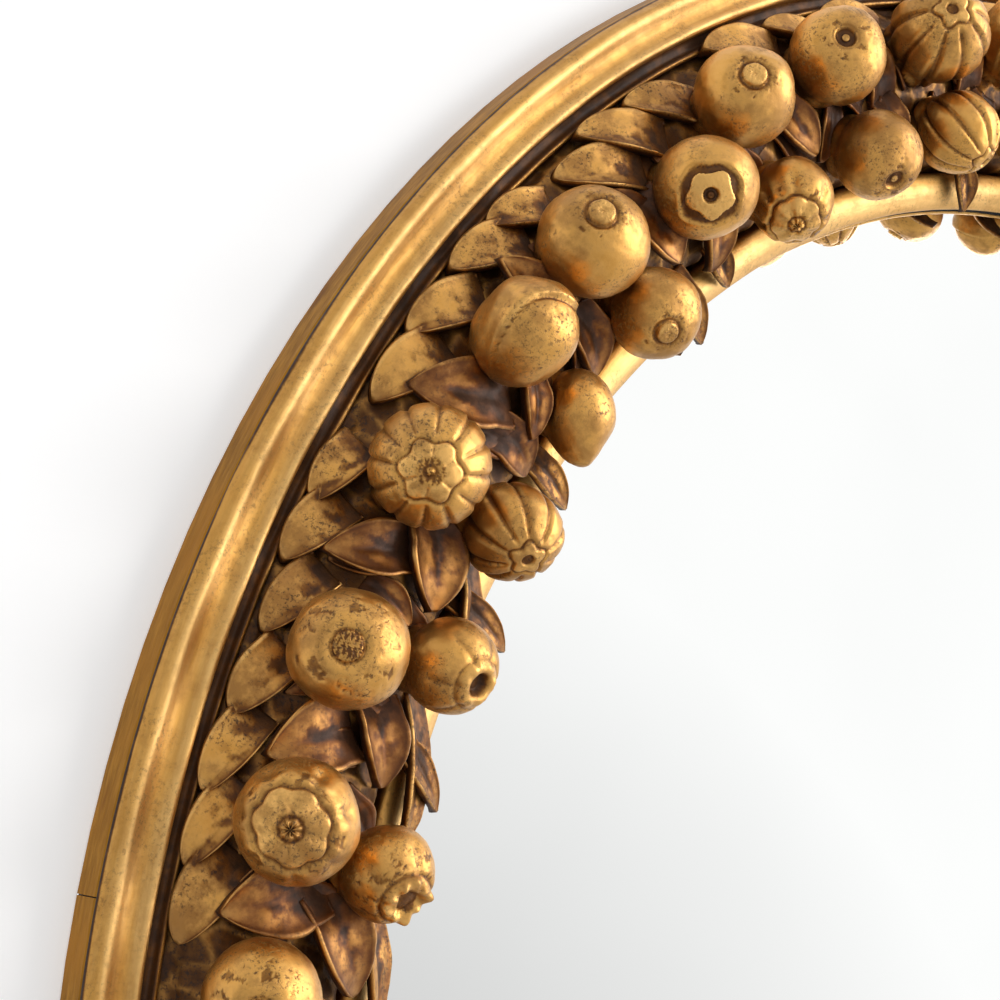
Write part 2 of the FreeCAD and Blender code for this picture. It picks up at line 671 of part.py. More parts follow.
frame_screws = []
for index in range(FRAME_SCREWS):
    foot = at(360.0 * index / FRAME_SCREWS, FRAME_SCREW_RING, 0)
    frame_screws.append(
        screw(foot, FRAME_SCREW_R, FRAME_HEAD_R, FRAME_HEAD_T, FRAME_SCREW_SINK, FRAME_SCREW_TIP, True)
    )
dowels = [
    rod(360.0 * (index + 0.5) / DOWELS, DOWEL_RING, DOWEL_R, DOWEL_FROM, DOWEL_TO) for index in range(DOWELS)
]
brads = [
    rod(360.0 * (index + 0.5) / BRADS, BRAD_RING, BRAD_R, BRAD_FROM, BRAD_TO) for index in range(BRADS)
]
splines = []
for seam in seams:
    block = Part.makeBox(
        SPLINE_OUT - SPLINE_IN,
        SPLINE_TO - SPLINE_FROM,
        SPLINE_LONG,
        Vector(SPLINE_IN, -SPLINE_TO, -SPLINE_LONG / 2),
    )
    block.rotate(Vector(0, 0, 0), Vector(0, 1, 0), -seam)
    splines.append(block)

# ---------------------------------------------------------------- turn buttons
button_floor = RECESS_DEPTH - BUTTON_PLAY
button_back = button_floor - BUTTON_T
buttons = []
button_screws = []
for index in range(BUTTONS):
    angle = 360.0 * index / BUTTONS + 90.0
    end = BUTTON_R - BUTTON_REACH
    plate = Part.makeBox(BUTTON_REACH, BUTTON_T, 2 * BUTTON_HALF, Vector(end, -button_floor, -BUTTON_HALF))
    for ring in (BUTTON_R, end):
        plate = plate.fuse(rod(0, ring, BUTTON_HALF, button_back, button_floor))
    plate = plate.removeSplitter()
    plate = plate.cut(rod(0, BUTTON_R, BUTTON_SCREW_R + BUTTON_BORE_PLAY, 0, RECESS_DEPTH))
    plate.rotate(Vector(0, 0, 0), Vector(0, 1, 0), -angle)
    buttons.append(solid_of(plate))
    head_low = button_back - BUTTON_PLAY - BUTTON_HEAD_T
    button_screws.append(
        screw(
            at(angle, BUTTON_R, 0), BUTTON_SCREW_R, BUTTON_HEAD_R, BUTTON_HEAD_T,
            head_low, BUTTON_SCREW_TIP, False,
        )
    )

# ---------------------------------------------------------------- hangers in their pockets
pockets = []
straps = []
rings = []
hanger_screws = []
for side in (-1, 1):
    x_centre = side * HANGER_X
    pockets.append(
        Part.makeBox(
            2 * POCKET_HALF,
            POCKET_DEPTH + 1.0,
            POCKET_UP + POCKET_DOWN,
            Vector(x_centre - POCKET_HALF, -POCKET_DEPTH, HANGER_Z - POCKET_DOWN),
        )
    )
    plate = strap(x_centre)
    for drop in HANGER_SCREW_DROPS:
        foot = Vector(x_centre, 0, HANGER_Z - drop)
        head_low = POCKET_DEPTH - STRAP_T - HANGER_HEAD_T
        one = screw(
            foot, HANGER_SCREW_R, HANGER_HEAD_R, HANGER_HEAD_T, head_low, HANGER_SCREW_TIP, False
        )
        plate = plate.cut(one)
        hanger_screws.append(one)
    straps.append(solid_of(plate))
    rings.append(d_ring(x_centre))

# ---------------------------------------------------------------- garland
fruit = []
pins = []
keep_clear = []
for kind, angle, radius, size, sink, parts in FRUIT:
    centre = fruit_centre(angle, radius, size, sink)
    pin = pin_for(centre, angle)
    ball = placed(solid_of(MAKERS[kind](size)), angle, centre, parts)
    ball = solid_of(ball.cut([bed, pin]))
    fruit.append((kind, ball))
    pins.append(pin)
    room = envelope(kind, size, centre, angle, parts)
    keep_clear.extend(quarter_turned(room, quarter) for quarter in (-1, 0, 1))

wood = [bed, moulding, lip]
cutters = list(keep_clear)
outer_leaves = leaf_row(OUTER_LEAVES, cutters, wood)
middle_leaves = leaf_row(MIDDLE_LEAVES, cutters, wood)
inner_leaves = leaf_row(INNER_LEAVES, cutters, wood)

all_pins = [quarter_turned(pin, quarter) for quarter in range(4) for pin in pins]

# ---------------------------------------------------------------- holes, then every node
back_tools = pockets + splines + frame_screws + button_screws + hanger_screws + dowels + brads
write("back_ring_upper", [solid_of(upper_back.cut([one for one in back_tools if near(upper_back, one)]))])
write("back_ring_lower", [solid_of(lower_back.cut([one for one in back_tools if near(lower_back, one)]))])
write("outer_moulding", [solid_of(moulding.cut(dowels))])
write("garland_bed", [solid_of(bed.cut(frame_screws + button_screws + hanger_screws + all_pins))])
write("sight_lip", [solid_of(lip.cut(brads))])
write("convex_glass", [glass])
write("glazing_felt", [felt])
write("rim_spacer", [spacer])
write("backing_board", [board])
for index, button in enumerate(buttons):
    write("turn_button_%d" % (index + 1), [button])
write("button_screws", button_screws)
for name, plate, ring in zip(("left", "right"), straps, rings):
    write("hanger_strap_" + name, [plate])
    write("d_ring_" + name, [ring])
write("hanger_screws", hanger_screws)
write("frame_screws", frame_screws)
write("moulding_dowels", dowels)
write("lip_brads", brads)
write("seam_splines", splines)
write("fruit_pins", all_pins)
for quarter, place in enumerate(QUADRANTS):
    for kind in KINDS:
        group = [quarter_turned(ball, quarter) for name, ball in fruit if name == kind]
        write(kind + ("" if kind == "lemon" else "s") + "_" + place, group)
    write("outer_leaves_" + place, [quarter_turned(leaf, quarter) for leaf in outer_leaves])
    write("middle_leaves_" + place, [quarter_turned(leaf, quarter) for leaf in middle_leaves])
    write("inner_leaves_" + place, [quarter_turned(leaf, quarter) for leaf in inner_leaves])
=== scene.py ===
"""Looks of a round convex wall mirror in a carved and gilded frame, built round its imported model.

The row frame has x to the right, z up and the wall in the plane y = 0. Depth is the distance out of the
wall, -y. Angles run counter-clockwise from +X, as the viewer sees them. Sizes in the dataclasses are
millimetres.
"""
import logging
import math
from dataclasses import dataclass, field
from enum import Enum

import bpy
import numpy as np
from mathutils import Matrix, Vector
from mathutils.bvhtree import BVHTree


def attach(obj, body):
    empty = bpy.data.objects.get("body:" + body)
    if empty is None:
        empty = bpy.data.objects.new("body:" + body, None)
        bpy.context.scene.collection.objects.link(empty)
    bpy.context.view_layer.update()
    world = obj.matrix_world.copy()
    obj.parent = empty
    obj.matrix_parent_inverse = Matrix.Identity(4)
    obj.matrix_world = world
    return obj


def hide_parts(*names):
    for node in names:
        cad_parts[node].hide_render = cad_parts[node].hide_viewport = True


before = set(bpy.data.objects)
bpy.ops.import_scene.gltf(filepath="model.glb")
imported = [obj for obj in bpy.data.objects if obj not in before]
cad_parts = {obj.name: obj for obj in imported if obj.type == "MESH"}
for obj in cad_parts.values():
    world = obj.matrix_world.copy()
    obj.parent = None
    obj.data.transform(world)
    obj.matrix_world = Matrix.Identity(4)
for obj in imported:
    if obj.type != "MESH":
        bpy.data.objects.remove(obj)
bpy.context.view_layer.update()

Tree = bpy.types.NodeTree
Socket = bpy.types.NodeSocket
Material = bpy.types.Material
MM = 0.001
FRAME_BODY = "frame"
log = logging.getLogger("mirror")


# ---------------------------------------------------------------- small tools
def colour(code: str) -> tuple[float, float, float, float]:
    """Turns an sRGB hex colour into a linear one.

    Args:
        code: six hex digits after a hash.

    Returns:
        Linear red, green, blue and an alpha of 1.
    """
    parts = [int(code[i:i + 2], 16) / 255.0 for i in (1, 3, 5)]
    linear = [p / 12.92 if p <= 0.04045 else ((p + 0.055) / 1.055) ** 2.4 for p in parts]
    return (linear[0], linear[1], linear[2], 1.0)


def add(tree: Tree, kind: str, inputs: dict | None = None, **settings: object) -> bpy.types.Node:
    """Adds one shader node.

    Args:
        tree: the node tree that takes it.
        kind: the node's type name, without its ShaderNode prefix.
        inputs: values or output sockets for its inputs, by name or number.
        settings: attributes of the node.

    Returns:
        The new node.
    """
    node = tree.nodes.new("ShaderNode" + kind)
    for name, value in settings.items():
        setattr(node, name, value)
    for key, value in (inputs or {}).items():
        if isinstance(value, Socket):
            tree.links.new(value, node.inputs[key])
        else:
            node.inputs[key].default_value = value
    return node


def ramp(x: np.ndarray, low: float | np.ndarray, high: float | np.ndarray) -> np.ndarray:
    """Smooth step from 0 at low to 1 at high."""
    t = np.clip((x - low) / (high - low), 0.0, 1.0)
    return t * t * (3.0 - 2.0 * t)


def bell(x: np.ndarray, centre: float, width: float) -> np.ndarray:
    """Smooth bump of height 1 at centre."""
    return np.exp(-((x - centre) / width) ** 2)


def wobble(points: np.ndarray, size: float, seed: int, octaves: int = 2) -> np.ndarray:
    """Uneven hand-made waviness, the same on every run.

    Args:
        points: positions, one row each.
        size: the length of its largest waves, in the units of the points.
        seed: picks one pattern.
        octaves: how many sizes of wave are added, each half the last.

    Returns:
        One value per point, mostly between -1 and 1.
    """
    rng = np.random.default_rng(seed)
    total = np.zeros(len(points))
    for octave in range(octaves):
        aims = rng.normal(size=(9, 3))
        aims /= np.linalg.norm(aims, axis=1)[:, None]
        shifts = rng.uniform(0.0, 2.0 * math.pi, 9)
        waves = np.sin(points @ aims.T * (2.0 * math.pi * 2 ** octave / size) + shifts)
        total += waves.mean(axis=1) * 2.4 * 0.55 ** octave
    return total


def ring_points(radius: np.ndarray, turn: np.ndarray, depth: np.ndarray) -> np.ndarray:
    """Points in metres from radii, angles in radians and depths in millimetres."""
    return np.stack([radius * np.cos(turn), -depth, radius * np.sin(turn)], axis=-1) * MM


def revolved(radius: np.ndarray, turn: np.ndarray, depth: np.ndarray) -> np.ndarray:
    """Points in metres of a section swept through some angles, one row for each point of the section."""
    zero = 0 * radius[:, None] + 0 * turn[None, :]
    return ring_points(radius[:, None] + zero, turn[None, :] + zero, depth[:, None] + zero).reshape(-1, 3)


def at(angle: float, radius: float, depth: float) -> np.ndarray:
    """One point in metres from an angle in degrees, a radius and a depth."""
    return ring_points(np.array(radius), np.array(math.radians(angle)), np.array(depth))


def directions(angle: float) -> tuple[np.ndarray, np.ndarray, np.ndarray]:
    """Outward, counter-clockwise and forward unit vectors at an angle in degrees."""
    c, s = math.cos(math.radians(angle)), math.sin(math.radians(angle))
    return np.array([c, 0, s]), np.array([-s, 0, c]), np.array([0, -1.0, 0])


def unit(v: np.ndarray) -> np.ndarray:
    """A vector at length 1."""
    return v / np.linalg.norm(v)


def quarter_turned(points: np.ndarray, quarter: int) -> np.ndarray:
    """Points turned clockwise about the frame's axis by so many quarters."""
    c, s = math.cos(math.radians(90 * quarter)), math.sin(math.radians(90 * quarter))
    x, y, z = points[:, 0], points[:, 1], points[:, 2]
    return np.stack([c * x + s * z, y, -s * x + c * z], axis=1)


# ---------------------------------------------------------------- plain mesh data
@dataclass
class Shape:
    """Vertices, faces and painted values of a piece, before it becomes an object.

    The painted values are wear, 1 where hands and cloths have rubbed the gilding bright; toning and shade, 1
    where dark toning lies in a cut or hollow and where painted shade darkens a hollow, the base of a leaf or
    its underside; and clear, 1 where nothing stands near, from which the gilding paints shade in low places.
    """

    points: np.ndarray
    faces: list[np.ndarray]
    wear: np.ndarray
    toning_and_shade: np.ndarray
    clear: np.ndarray | None = None

    def joined(self, others: list["Shape"]) -> "Shape":
        """This shape and others as one.

        Args:
            others: the shapes that follow it.

        Returns:
            A new shape.
        """
        shapes = [self] + others
        starts = np.cumsum([0] + [len(s.points) for s in shapes])
        faces = [f + start for s, start in zip(shapes, starts) for f in s.faces]
        clear = None if self.clear is None else np.concatenate([s.clear for s in shapes])
        return Shape(
            np.concatenate([s.points for s in shapes]),
            faces,
            np.concatenate([s.wear for s in shapes]),
            np.concatenate([s.toning_and_shade for s in shapes]),
            clear,
        )

    def turned(self, quarter: int) -> "Shape":
        """A copy turned clockwise by so many quarters."""
        return Shape(quarter_turned(self.points, quarter), self.faces, self.wear, self.toning_and_shade, self.clear)

    def mesh(self, name: str) -> bpy.types.Mesh:
        """The shape as a smooth mesh with its painted values as attributes.

        Args:
            name: the mesh's name.

        Returns:
            The new mesh.
        """
        mesh = bpy.data.meshes.new(name)
        mesh.vertices.add(len(self.points))
        mesh.vertices.foreach_set("co", self.points.astype(np.float32).ravel())
        loops = np.concatenate([f.ravel() for f in self.faces]).astype(np.int32)
        sizes = np.concatenate([np.full(len(f), f.shape[1]) for f in self.faces])
        starts = np.concatenate([[0], np.cumsum(sizes)[:-1]]).astype(np.int32)
        mesh.loops.add(len(loops))
        mesh.loops.foreach_set("vertex_index", loops)
        mesh.polygons.add(len(sizes))
        mesh.polygons.foreach_set("loop_start", starts)
        mesh.update(calc_edges=True)
        mesh.validate()
        mesh.shade_smooth()
        values = {"wear": self.wear, "toning_and_shade": self.toning_and_shade}
        values["clear"] = np.ones(len(self.points)) if self.clear is None else self.clear
        for label, numbers in values.items():
            layer = mesh.attributes.new(label, "FLOAT", "POINT")
            layer.data.foreach_set("value", numbers.astype(np.float32))
        return mesh


def loft(rows: int, columns: int, closed_rows: bool, closed_columns: bool) -> np.ndarray:
    """Faces of a grid of rows and columns.

    Args:
        rows: how many rows of vertices.
        columns: how many vertices in a row.
        closed_rows: whether the last row joins the first.
        closed_columns: whether each row closes on itself.

    Returns:
        Quads, one row each.
    """
    i = np.arange(rows if closed_rows else rows - 1)[:, None]
    j = np.arange(columns if closed_columns else columns - 1)[None, :]
    near, far = i * columns, (i + 1) % rows * columns
    left, right = j + 0 * i, (j + 1) % columns + 0 * i
    quads = np.stack([near + left, near + right, far + right, far + left], axis=-1)
    return quads.reshape(-1, 4)


def fan(centre: int, ring: np.ndarray) -> np.ndarray:
    """Triangles from one vertex to a closed ring of them."""
    return np.stack([np.full(len(ring), centre), np.roll(ring, -1), ring], axis=1)


def arc_through(a: tuple, b: tuple, c: tuple, steps: int) -> list[tuple[float, float]]:
    """Points on the arc from a through b to c, without a.

    Args:
        a: its start.
        b: a point on it.
        c: its end.
        steps: how many points to give.

    Returns:
        The points.
    """
    (ax, ay), (bx, by), (cx, cy) = a, b, c
    d = 2 * (ax * (by - cy) + bx * (cy - ay) + cx * (ay - by))
    qa, qb, qc = ax * ax + ay * ay, bx * bx + by * by, cx * cx + cy * cy
    ux = (qa * (by - cy) + qb * (cy - ay) + qc * (ay - by)) / d
    uy = (qa * (cx - bx) + qb * (ax - cx) + qc * (bx - ax)) / d
    radius = math.hypot(ax - ux, ay - uy)
    first, middle, last = (math.atan2(y - uy, x - ux) for x, y in (a, b, c))
    sweep, half = (last - first) % (2 * math.pi), (middle - first) % (2 * math.pi)
    if half > sweep:
        sweep -= 2 * math.pi
    turns = [first + sweep * k / steps for k in range(1, steps + 1)]
    return [(ux + radius * math.cos(t), uy + radius * math.sin(t)) for t in turns]


def section(steps: list, arc_steps: int, longest: float) -> np.ndarray:
    """A closed ring section as (radius, depth) points.

    Args:
        steps: points, or pairs of points for an arc's middle and end.
        arc_steps: points on each arc.
        longest: straight runs are divided to at most this length.

    Returns:
        The points, in order round the section.
    """
    points = [steps[0]]
    for step in steps[1:] + [steps[0]]:
        here = points[-1]
        if isinstance(step[0], tuple):
            points += arc_through(here, step[0], step[1], arc_steps)
            continue
        count = max(1, math.ceil(math.dist(here, step) / longest))
        points += [
            (here[0] + (step[0] - here[0]) * k / count, here[1] + (step[1] - here[1]) * k / count)
            for k in range(1, count + 1)
        ]
    return np.array(points[:-1])


def gouges(across: np.ndarray, along: np.ndarray, columns: int, seed: int) -> tuple[np.ndarray, np.ndarray]:
    """Overlapping gouge cuts on a surface that closes on itself.

    Args:
        across: place across the surface, counted in cuts.
        along: place round it, counted in cuts.
        columns: how many cuts go round.
        seed: picks their places.

    Returns:
        How hollow each place is, and how near it is to the ridge between two cuts.
    """
    rows = 16
    shifts = np.random.default_rng(seed).uniform(-0.32, 0.32, (columns, rows, 2))
    column, row = np.floor(along).astype(int), np.floor(across).astype(int)
    first = np.full(across.shape, 9.0)
    second = first.copy()
    for step in range(9):
        a, b = column + step // 3 - 1, row + step % 3 - 1
        shift = shifts[a % columns, b % rows]
        gap = np.hypot(along - a - 0.5 - shift[..., 0], across - b - 0.5 - shift[..., 1])
        second = np.minimum(second, np.maximum(first, gap))
        first = np.minimum(first, gap)
    return 1 - np.clip(first / 0.75, 0, 1) ** 2, 1 - ramp(second - first, 0.0, 0.3)


def piece(name: str, shape: Shape, finish: Material, nodes: list[str]) -> bpy.types.Object:
    """Makes a shape an object of the frame, which may stand for some CAD nodes.

    Args:
        name: the object's name.
        shape: its mesh data.
        finish: its material.
        nodes: the CAD nodes that it stands for, if any.

    Returns:
        The object.
    """
    made = bpy.data.objects.new(name, shape.mesh(name))
    bpy.context.scene.collection.objects.link(made)
    made.data.materials.append(finish)
    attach(made, FRAME_BODY)
    if nodes:
        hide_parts(*nodes)
    log.info("%s: %d vertices", name, len(made.data.vertices))
    return made


def dress(node: str, finish: Material, crisp: float = 30.0) -> None:
    """Gives a CAD node its material and its smooth shading.

    Args:
        node: the CAD node.
        finish: the material.
        crisp: edges sharper than this many degrees stay crisp.
    """
    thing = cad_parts[node]
    if not thing.material_slots:
        thing.data.materials.append(finish)
    for place in thing.material_slots:
        place.link = "OBJECT"
        place.material = finish
    thing.data.shade_smooth()
    thing.data.set_sharp_from_angle(angle=math.radians(crisp))
    log.info("%s dressed as %s", node, finish.name)


# ---------------------------------------------------------------- finishes
class Streaks(Enum):
    """Which way the brush and the burnisher went over the gilding."""

    NONE = 0
    TURNED = 1


def new_material(name: str) -> tuple[Material, Tree, bpy.types.Node]:
    """An empty material.

    Args:
        name: its name.

    Returns:
        The material, its tree and its Principled shader, already on the output.
    """
    material = bpy.data.materials.new(name)
    material.use_nodes = True
    tree = material.node_tree
    tree.nodes.clear()
    shader = add(tree, "BsdfPrincipled")
    add(tree, "OutputMaterial", {"Surface": shader.outputs[0]})
    return material, tree, shader


def blend(tree: Tree, share: object, low: object, high: object) -> Socket:
    """Mixes two colours.

    Args:
        tree: the node tree.
        share: how much of the second, a number or a socket.
        low: the first colour or socket.
        high: the second colour or socket.

    Returns:
        The mixed colour's socket.
    """
    return add(tree, "Mix", {0: share, 6: low, 7: high}, data_type="RGBA").outputs[2]


def clamped(tree: Tree, operation: str, first: object, second: object) -> Socket:
    """One sum on two numbers or sockets, held between 0 and 1."""
    return add(tree, "Math", {0: first, 1: second}, operation=operation, use_clamp=True).outputs[0]


def plus(tree: Tree, first: object, second: object) -> Socket:
    """First and second added, held between 0 and 1."""
    return clamped(tree, "ADD", first, second)


def minus(tree: Tree, first: object, second: object) -> Socket:
    """First less second, held between 0 and 1."""
    return clamped(tree, "SUBTRACT", first, second)


def times(tree: Tree, first: object, second: object) -> Socket:
    """First times second, held between 0 and 1."""
    return clamped(tree, "MULTIPLY", first, second)


def larger(tree: Tree, first: object, second: object) -> Socket:
    """The larger of first and second, held between 0 and 1."""
    return clamped(tree, "MAXIMUM", first, second)


def grade(tree: Tree, value: object, low: float, high: float) -> Socket:
    """Smooth step of a socket from 0 at low to 1 at high."""
    inputs = {"Value": value, "From Min": low, "From Max": high}
    return add(tree, "MapRange", inputs, interpolation_type="SMOOTHSTEP").outputs[0]


def grain(tree: Tree, place: Socket, size_mm: float, detail: float = 3.0, rough: float = 0.6) -> Socket:
    """Noise whose spots are about so many millimetres across."""
    inputs = {"Vector": place, "Scale": 0.5 / (size_mm * MM), "Detail": detail, "Roughness": rough}
    return add(tree, "TexNoise", inputs).outputs[0]


def object_place(tree: Tree) -> Socket:
    """The position on the object, in metres."""
    return add(tree, "TexCoord").outputs["Object"]


def painted(tree: Tree, name: str) -> Socket:
    """A value that the mesh carries, by name."""
    return add(tree, "Attribute", attribute_name=name).outputs["Fac"]


def distance(tree: Tree, vector: Socket) -> Socket:
    """Length of a vector."""
    return add(tree, "VectorMath", {0: vector}, operation="LENGTH").outputs["Value"]


def round_the_ring(tree: Tree, place: Socket, pull: float) -> tuple[Socket, Socket]:
    """Coordinates that follow the turning of a ring, so that a pattern is drawn out along it.

    Args:
        tree: the node tree.
        place: the object position.
        pull: the length in metres that stands for one radian. A short one draws the pattern out far.

    Returns:
        The drawn-out coordinates, and the distance from the ring's axis.
    """
    axes = add(tree, "SeparateXYZ", {0: place})
    radius = distance(tree, add(tree, "CombineXYZ", {0: axes.outputs[0], 1: axes.outputs[2]}).outputs[0])
    turn = add(tree, "Math", {0: axes.outputs[2], 1: axes.outputs[0]}, operation="ARCTAN2").outputs[0]
    along = add(tree, "Math", {0: turn, 1: pull}, operation="MULTIPLY").outputs[0]
    return add(tree, "CombineXYZ", {0: along, 1: radius, 2: axes.outputs[1]}).outputs[0], radius


def year_rings(tree: Tree, place: Socket, ring_mm: float, pale: str, dark: str) -> tuple[Socket, Socket]:
    """Colour of sawn timber whose grain runs along X.

    Args:
        tree: the node tree.
        place: the object position.
        ring_mm: width of a year ring.
        pale: colour of the early wood.
        dark: colour of the late wood.

    Returns:
        The colour, and the coordinates drawn out along the grain.
    """
    drawn = add(tree, "Mapping", {"Vector": place, "Scale": (0.08, 1.0, 1.0)}).outputs[0]
    lines = grain(tree, drawn, ring_mm, 5.0, 0.6)
    return blend(tree, grade(tree, lines, 0.3, 0.7), colour(pale), colour(dark)), drawn


def ridged(tree: Tree, shader: bpy.types.Node, height: Socket, strength: float, depth_mm: float) -> None:
    """Lets a pattern stand up from the surface.

    Args:
        tree: the node tree.
        shader: the surface.
        height: the pattern.
        strength: how much of it shows.
        depth_mm: how high its highest places are.
    """
    inputs = {"Height": height, "Strength": strength, "Distance": depth_mm * MM}
    tree.links.new(add(tree, "Bump", inputs).outputs[0], shader.inputs["Normal"])


@dataclass(frozen=True)
class AntiqueGilding:
    """Gold leaf laid on red clay and gesso, burnished, then toned dark and rubbed back by hand.

    Metal leaf has a clear metallic colour that the toning turns from straw to brown. The toning stays in
    every cut and hollow, painted shade darkens the hollows that see little of the room and the places that
    the mesh marks for it, and the rubbing leaves high places pale and bright.
    """

    name: str
    bright: str = "#ECB768"
    body: str = "#CB9140"
    deep: str = "#774A1C"
    toning: str = "#2E1A0C"
    rough: float = 0.34
    tone_mm: float = 16.0
    fine_mm: float = 3.2
    speck_mm: float = 0.62
    specks: float = 0.72
    patina: float = 0.55
    closed: tuple[float, float] = (0.86, 0.24)
    ridges: float = 0.40
    shellac: float = 0.2
    streaks: Streaks = Streaks.NONE

    def material(self) -> Material:
        """The finish as a material."""
        material, tree, shader = new_material(self.name)
        place = object_place(tree)
        wear, toning_and_shade, clear = (painted(tree, name) for name in ("wear", "toning_and_shade", "clear"))
        broad = grain(tree, place, self.tone_mm, 4.0, 0.62)
        fine = grain(tree, place, self.fine_mm, 4.0, 0.68)
        specks = grain(tree, place, self.speck_mm, 3.0, 0.75)
        stretched = fine
        if self.streaks is Streaks.TURNED:
            stretched = grain(tree, round_the_ring(tree, place, 0.045)[0], 1.1, 4.0, 0.7)
        # Rubbed leaf is pale, and leaf that nobody touches stays the colour of old brass.
        rubbed = plus(tree, times(tree, wear, 0.6), times(tree, stretched, 0.6))
        rubbed = times(tree, rubbed, plus(tree, 0.35, broad))
        gold = blend(tree, grade(tree, rubbed, 0.18, 0.72), colour(self.body), colour(self.bright))
        # Patina: a thin brown film in clouds with worn, ragged edges.
        cloud = plus(tree, times(tree, broad, 0.6), times(tree, fine, 0.4))
        cloud = times(tree, grade(tree, cloud, 0.44, 0.60), self.patina)
        gold = blend(tree, cloud, gold, colour(self.deep))
        # Toning and painted shade: hollows that see little of the room get painted shade as well as toning,
        # the cuts and other places that the mesh marks hold toning and painted shade, and both are rubbed off
        # the high places.
        hollow_shade_and_toning = grade(tree, clear, self.closed[0], self.closed[1])
        film_and_shade = plus(tree, times(tree, hollow_shade_and_toning, 0.8), times(tree, toning_and_shade, 0.85))
        film_and_shade = minus(tree, film_and_shade, times(tree, wear, 0.3))
        broken = times(tree, film_and_shade, plus(tree, 0.4, fine))
        gold = blend(tree, grade(tree, broken, 0.05, 0.6), gold, colour(self.deep))
        toned = times(tree, grade(tree, broken, 0.4, 0.95), 0.9)
        # Specks: pinholes in the leaf that fill with toning, crowded in the cuts and in the hollows that get
        # painted shade.
        crowd = plus(tree, grade(tree, grain(tree, place, 9.0, 3.0, 0.6), 0.40, 0.62), toning_and_shade)
        crowd = plus(tree, crowd, times(tree, hollow_shade_and_toning, 0.4))
        dots = times(tree, grade(tree, specks, 0.49, 0.68), times(tree, crowd, self.specks))
        dark = larger(tree, toned, dots)
        # The darkest colour lays down toning and painted shade alike, and where it lies the gilding is less
        # metallic and rougher.
        tree.links.new(blend(tree, dark, gold, colour(self.toning)), shader.inputs["Base Color"])
        metal = minus(tree, 1.0, times(tree, dark, 0.7))
        tree.links.new(metal, shader.inputs["Metallic"])
        rough = plus(tree, self.rough, times(tree, dark, 0.3))
        rough = plus(tree, rough, times(tree, cloud, 0.2))
        rough = plus(tree, rough, times(tree, grade(tree, fine, 0.35, 0.75), 0.1))
        tree.links.new(rough, shader.inputs["Roughness"])
        # A thin coat of shellac seals the toning, and its own reflection is white.
        shader.inputs["Coat Weight"].default_value = self.shellac
        shader.inputs["Coat Roughness"].default_value = 0.32
        # Gesso laid by brush is never quite flat, and the leaf shows every ridge of it.
        high = plus(tree, times(tree, stretched, 0.6), times(tree, specks, 0.3))
        high = minus(tree, high, times(tree, dots, 0.45))
        ridged(tree, shader, high, self.ridges, 0.7)
        return material


@dataclass(frozen=True)
class SilveredGlass:
    """Ground and polished convex glass, silvered at the back. The eye sees the silver through clear glass."""

    name: str = "silvered_glass"

    def material(self) -> Material:
        """The finish as a material."""
        material, tree, shader = new_material(self.name)
        place = object_place(tree)
        haze = grade(tree, grain(tree, place, 60.0, 2.0, 0.5), 0.3, 0.8)
        tint = blend(tree, haze, colour("#FBFCFB"), colour("#F8F9F8"))
        tree.links.new(tint, shader.inputs["Base Color"])
        shader.inputs["Metallic"].default_value = 1.0
        shader.inputs["Roughness"].default_value = 0.0
        return material


@dataclass(frozen=True)
class SawnTimber:
    """Close-grained timber, sawn and planed, and left bare."""

    name: str
    pale: str = "#C39A68"
    dark: str = "#8C6237"
    ring_mm: float = 3.0
    rough: float = 0.62

    def material(self) -> Material:
        """The finish as a material."""
        material, tree, shader = new_material(self.name)
        place = object_place(tree)
        tint, drawn = year_rings(tree, place, self.ring_mm, self.pale, self.dark)
        pores = grain(tree, drawn, 0.8, 2.0, 0.6)
        tint = blend(tree, times(tree, grade(tree, pores, 0.6, 0.75), 0.5), tint, colour("#5A3B1E"))
        tree.links.new(tint, shader.inputs["Base Color"])
        shader.inputs["Roughness"].default_value = self.rough
        ridged(tree, shader, pores, 0.25, 0.4)
        return material


@dataclass(frozen=True)
class GildedRim:
    """The side band: timber with toned gilding on its rim only, and bare wood at the back."""

    name: str = "gilded_side_band"
    rim_mm: float = 448.6

    def material(self) -> Material:
        """The finish as a material."""
        material, tree, shader = new_material(self.name)
        place = object_place(tree)
        drawn, radius = round_the_ring(tree, place, 0.06)
        streak = grain(tree, drawn, 1.3, 4.0, 0.68)
        broad = grain(tree, place, 26.0, 4.0, 0.6)
        gold = blend(tree, grade(tree, streak, 0.3, 0.75), colour("#8C6124"), colour("#C08C3A"))
        gold = blend(tree, grade(tree, broad, 0.4, 0.75), gold, colour("#AC772C"))
        red = times(tree, grade(tree, grain(tree, drawn, 3.4, 3.0, 0.6), 0.62, 0.75), 0.55)
        gold = blend(tree, red, gold, colour("#7A4A24"))
        wood, _grain_place = year_rings(tree, place, 3.0, "#BD9566", "#8A6238")
        rim = grade(tree, radius, (self.rim_mm - 0.4) * MM, self.rim_mm * MM)
        tree.links.new(blend(tree, rim, wood, gold), shader.inputs["Base Color"])
        tree.links.new(rim, shader.inputs["Metallic"])
        shader.inputs["Roughness"].default_value = 0.47
        ridged(tree, shader, streak, 0.3, 0.5)
        return material


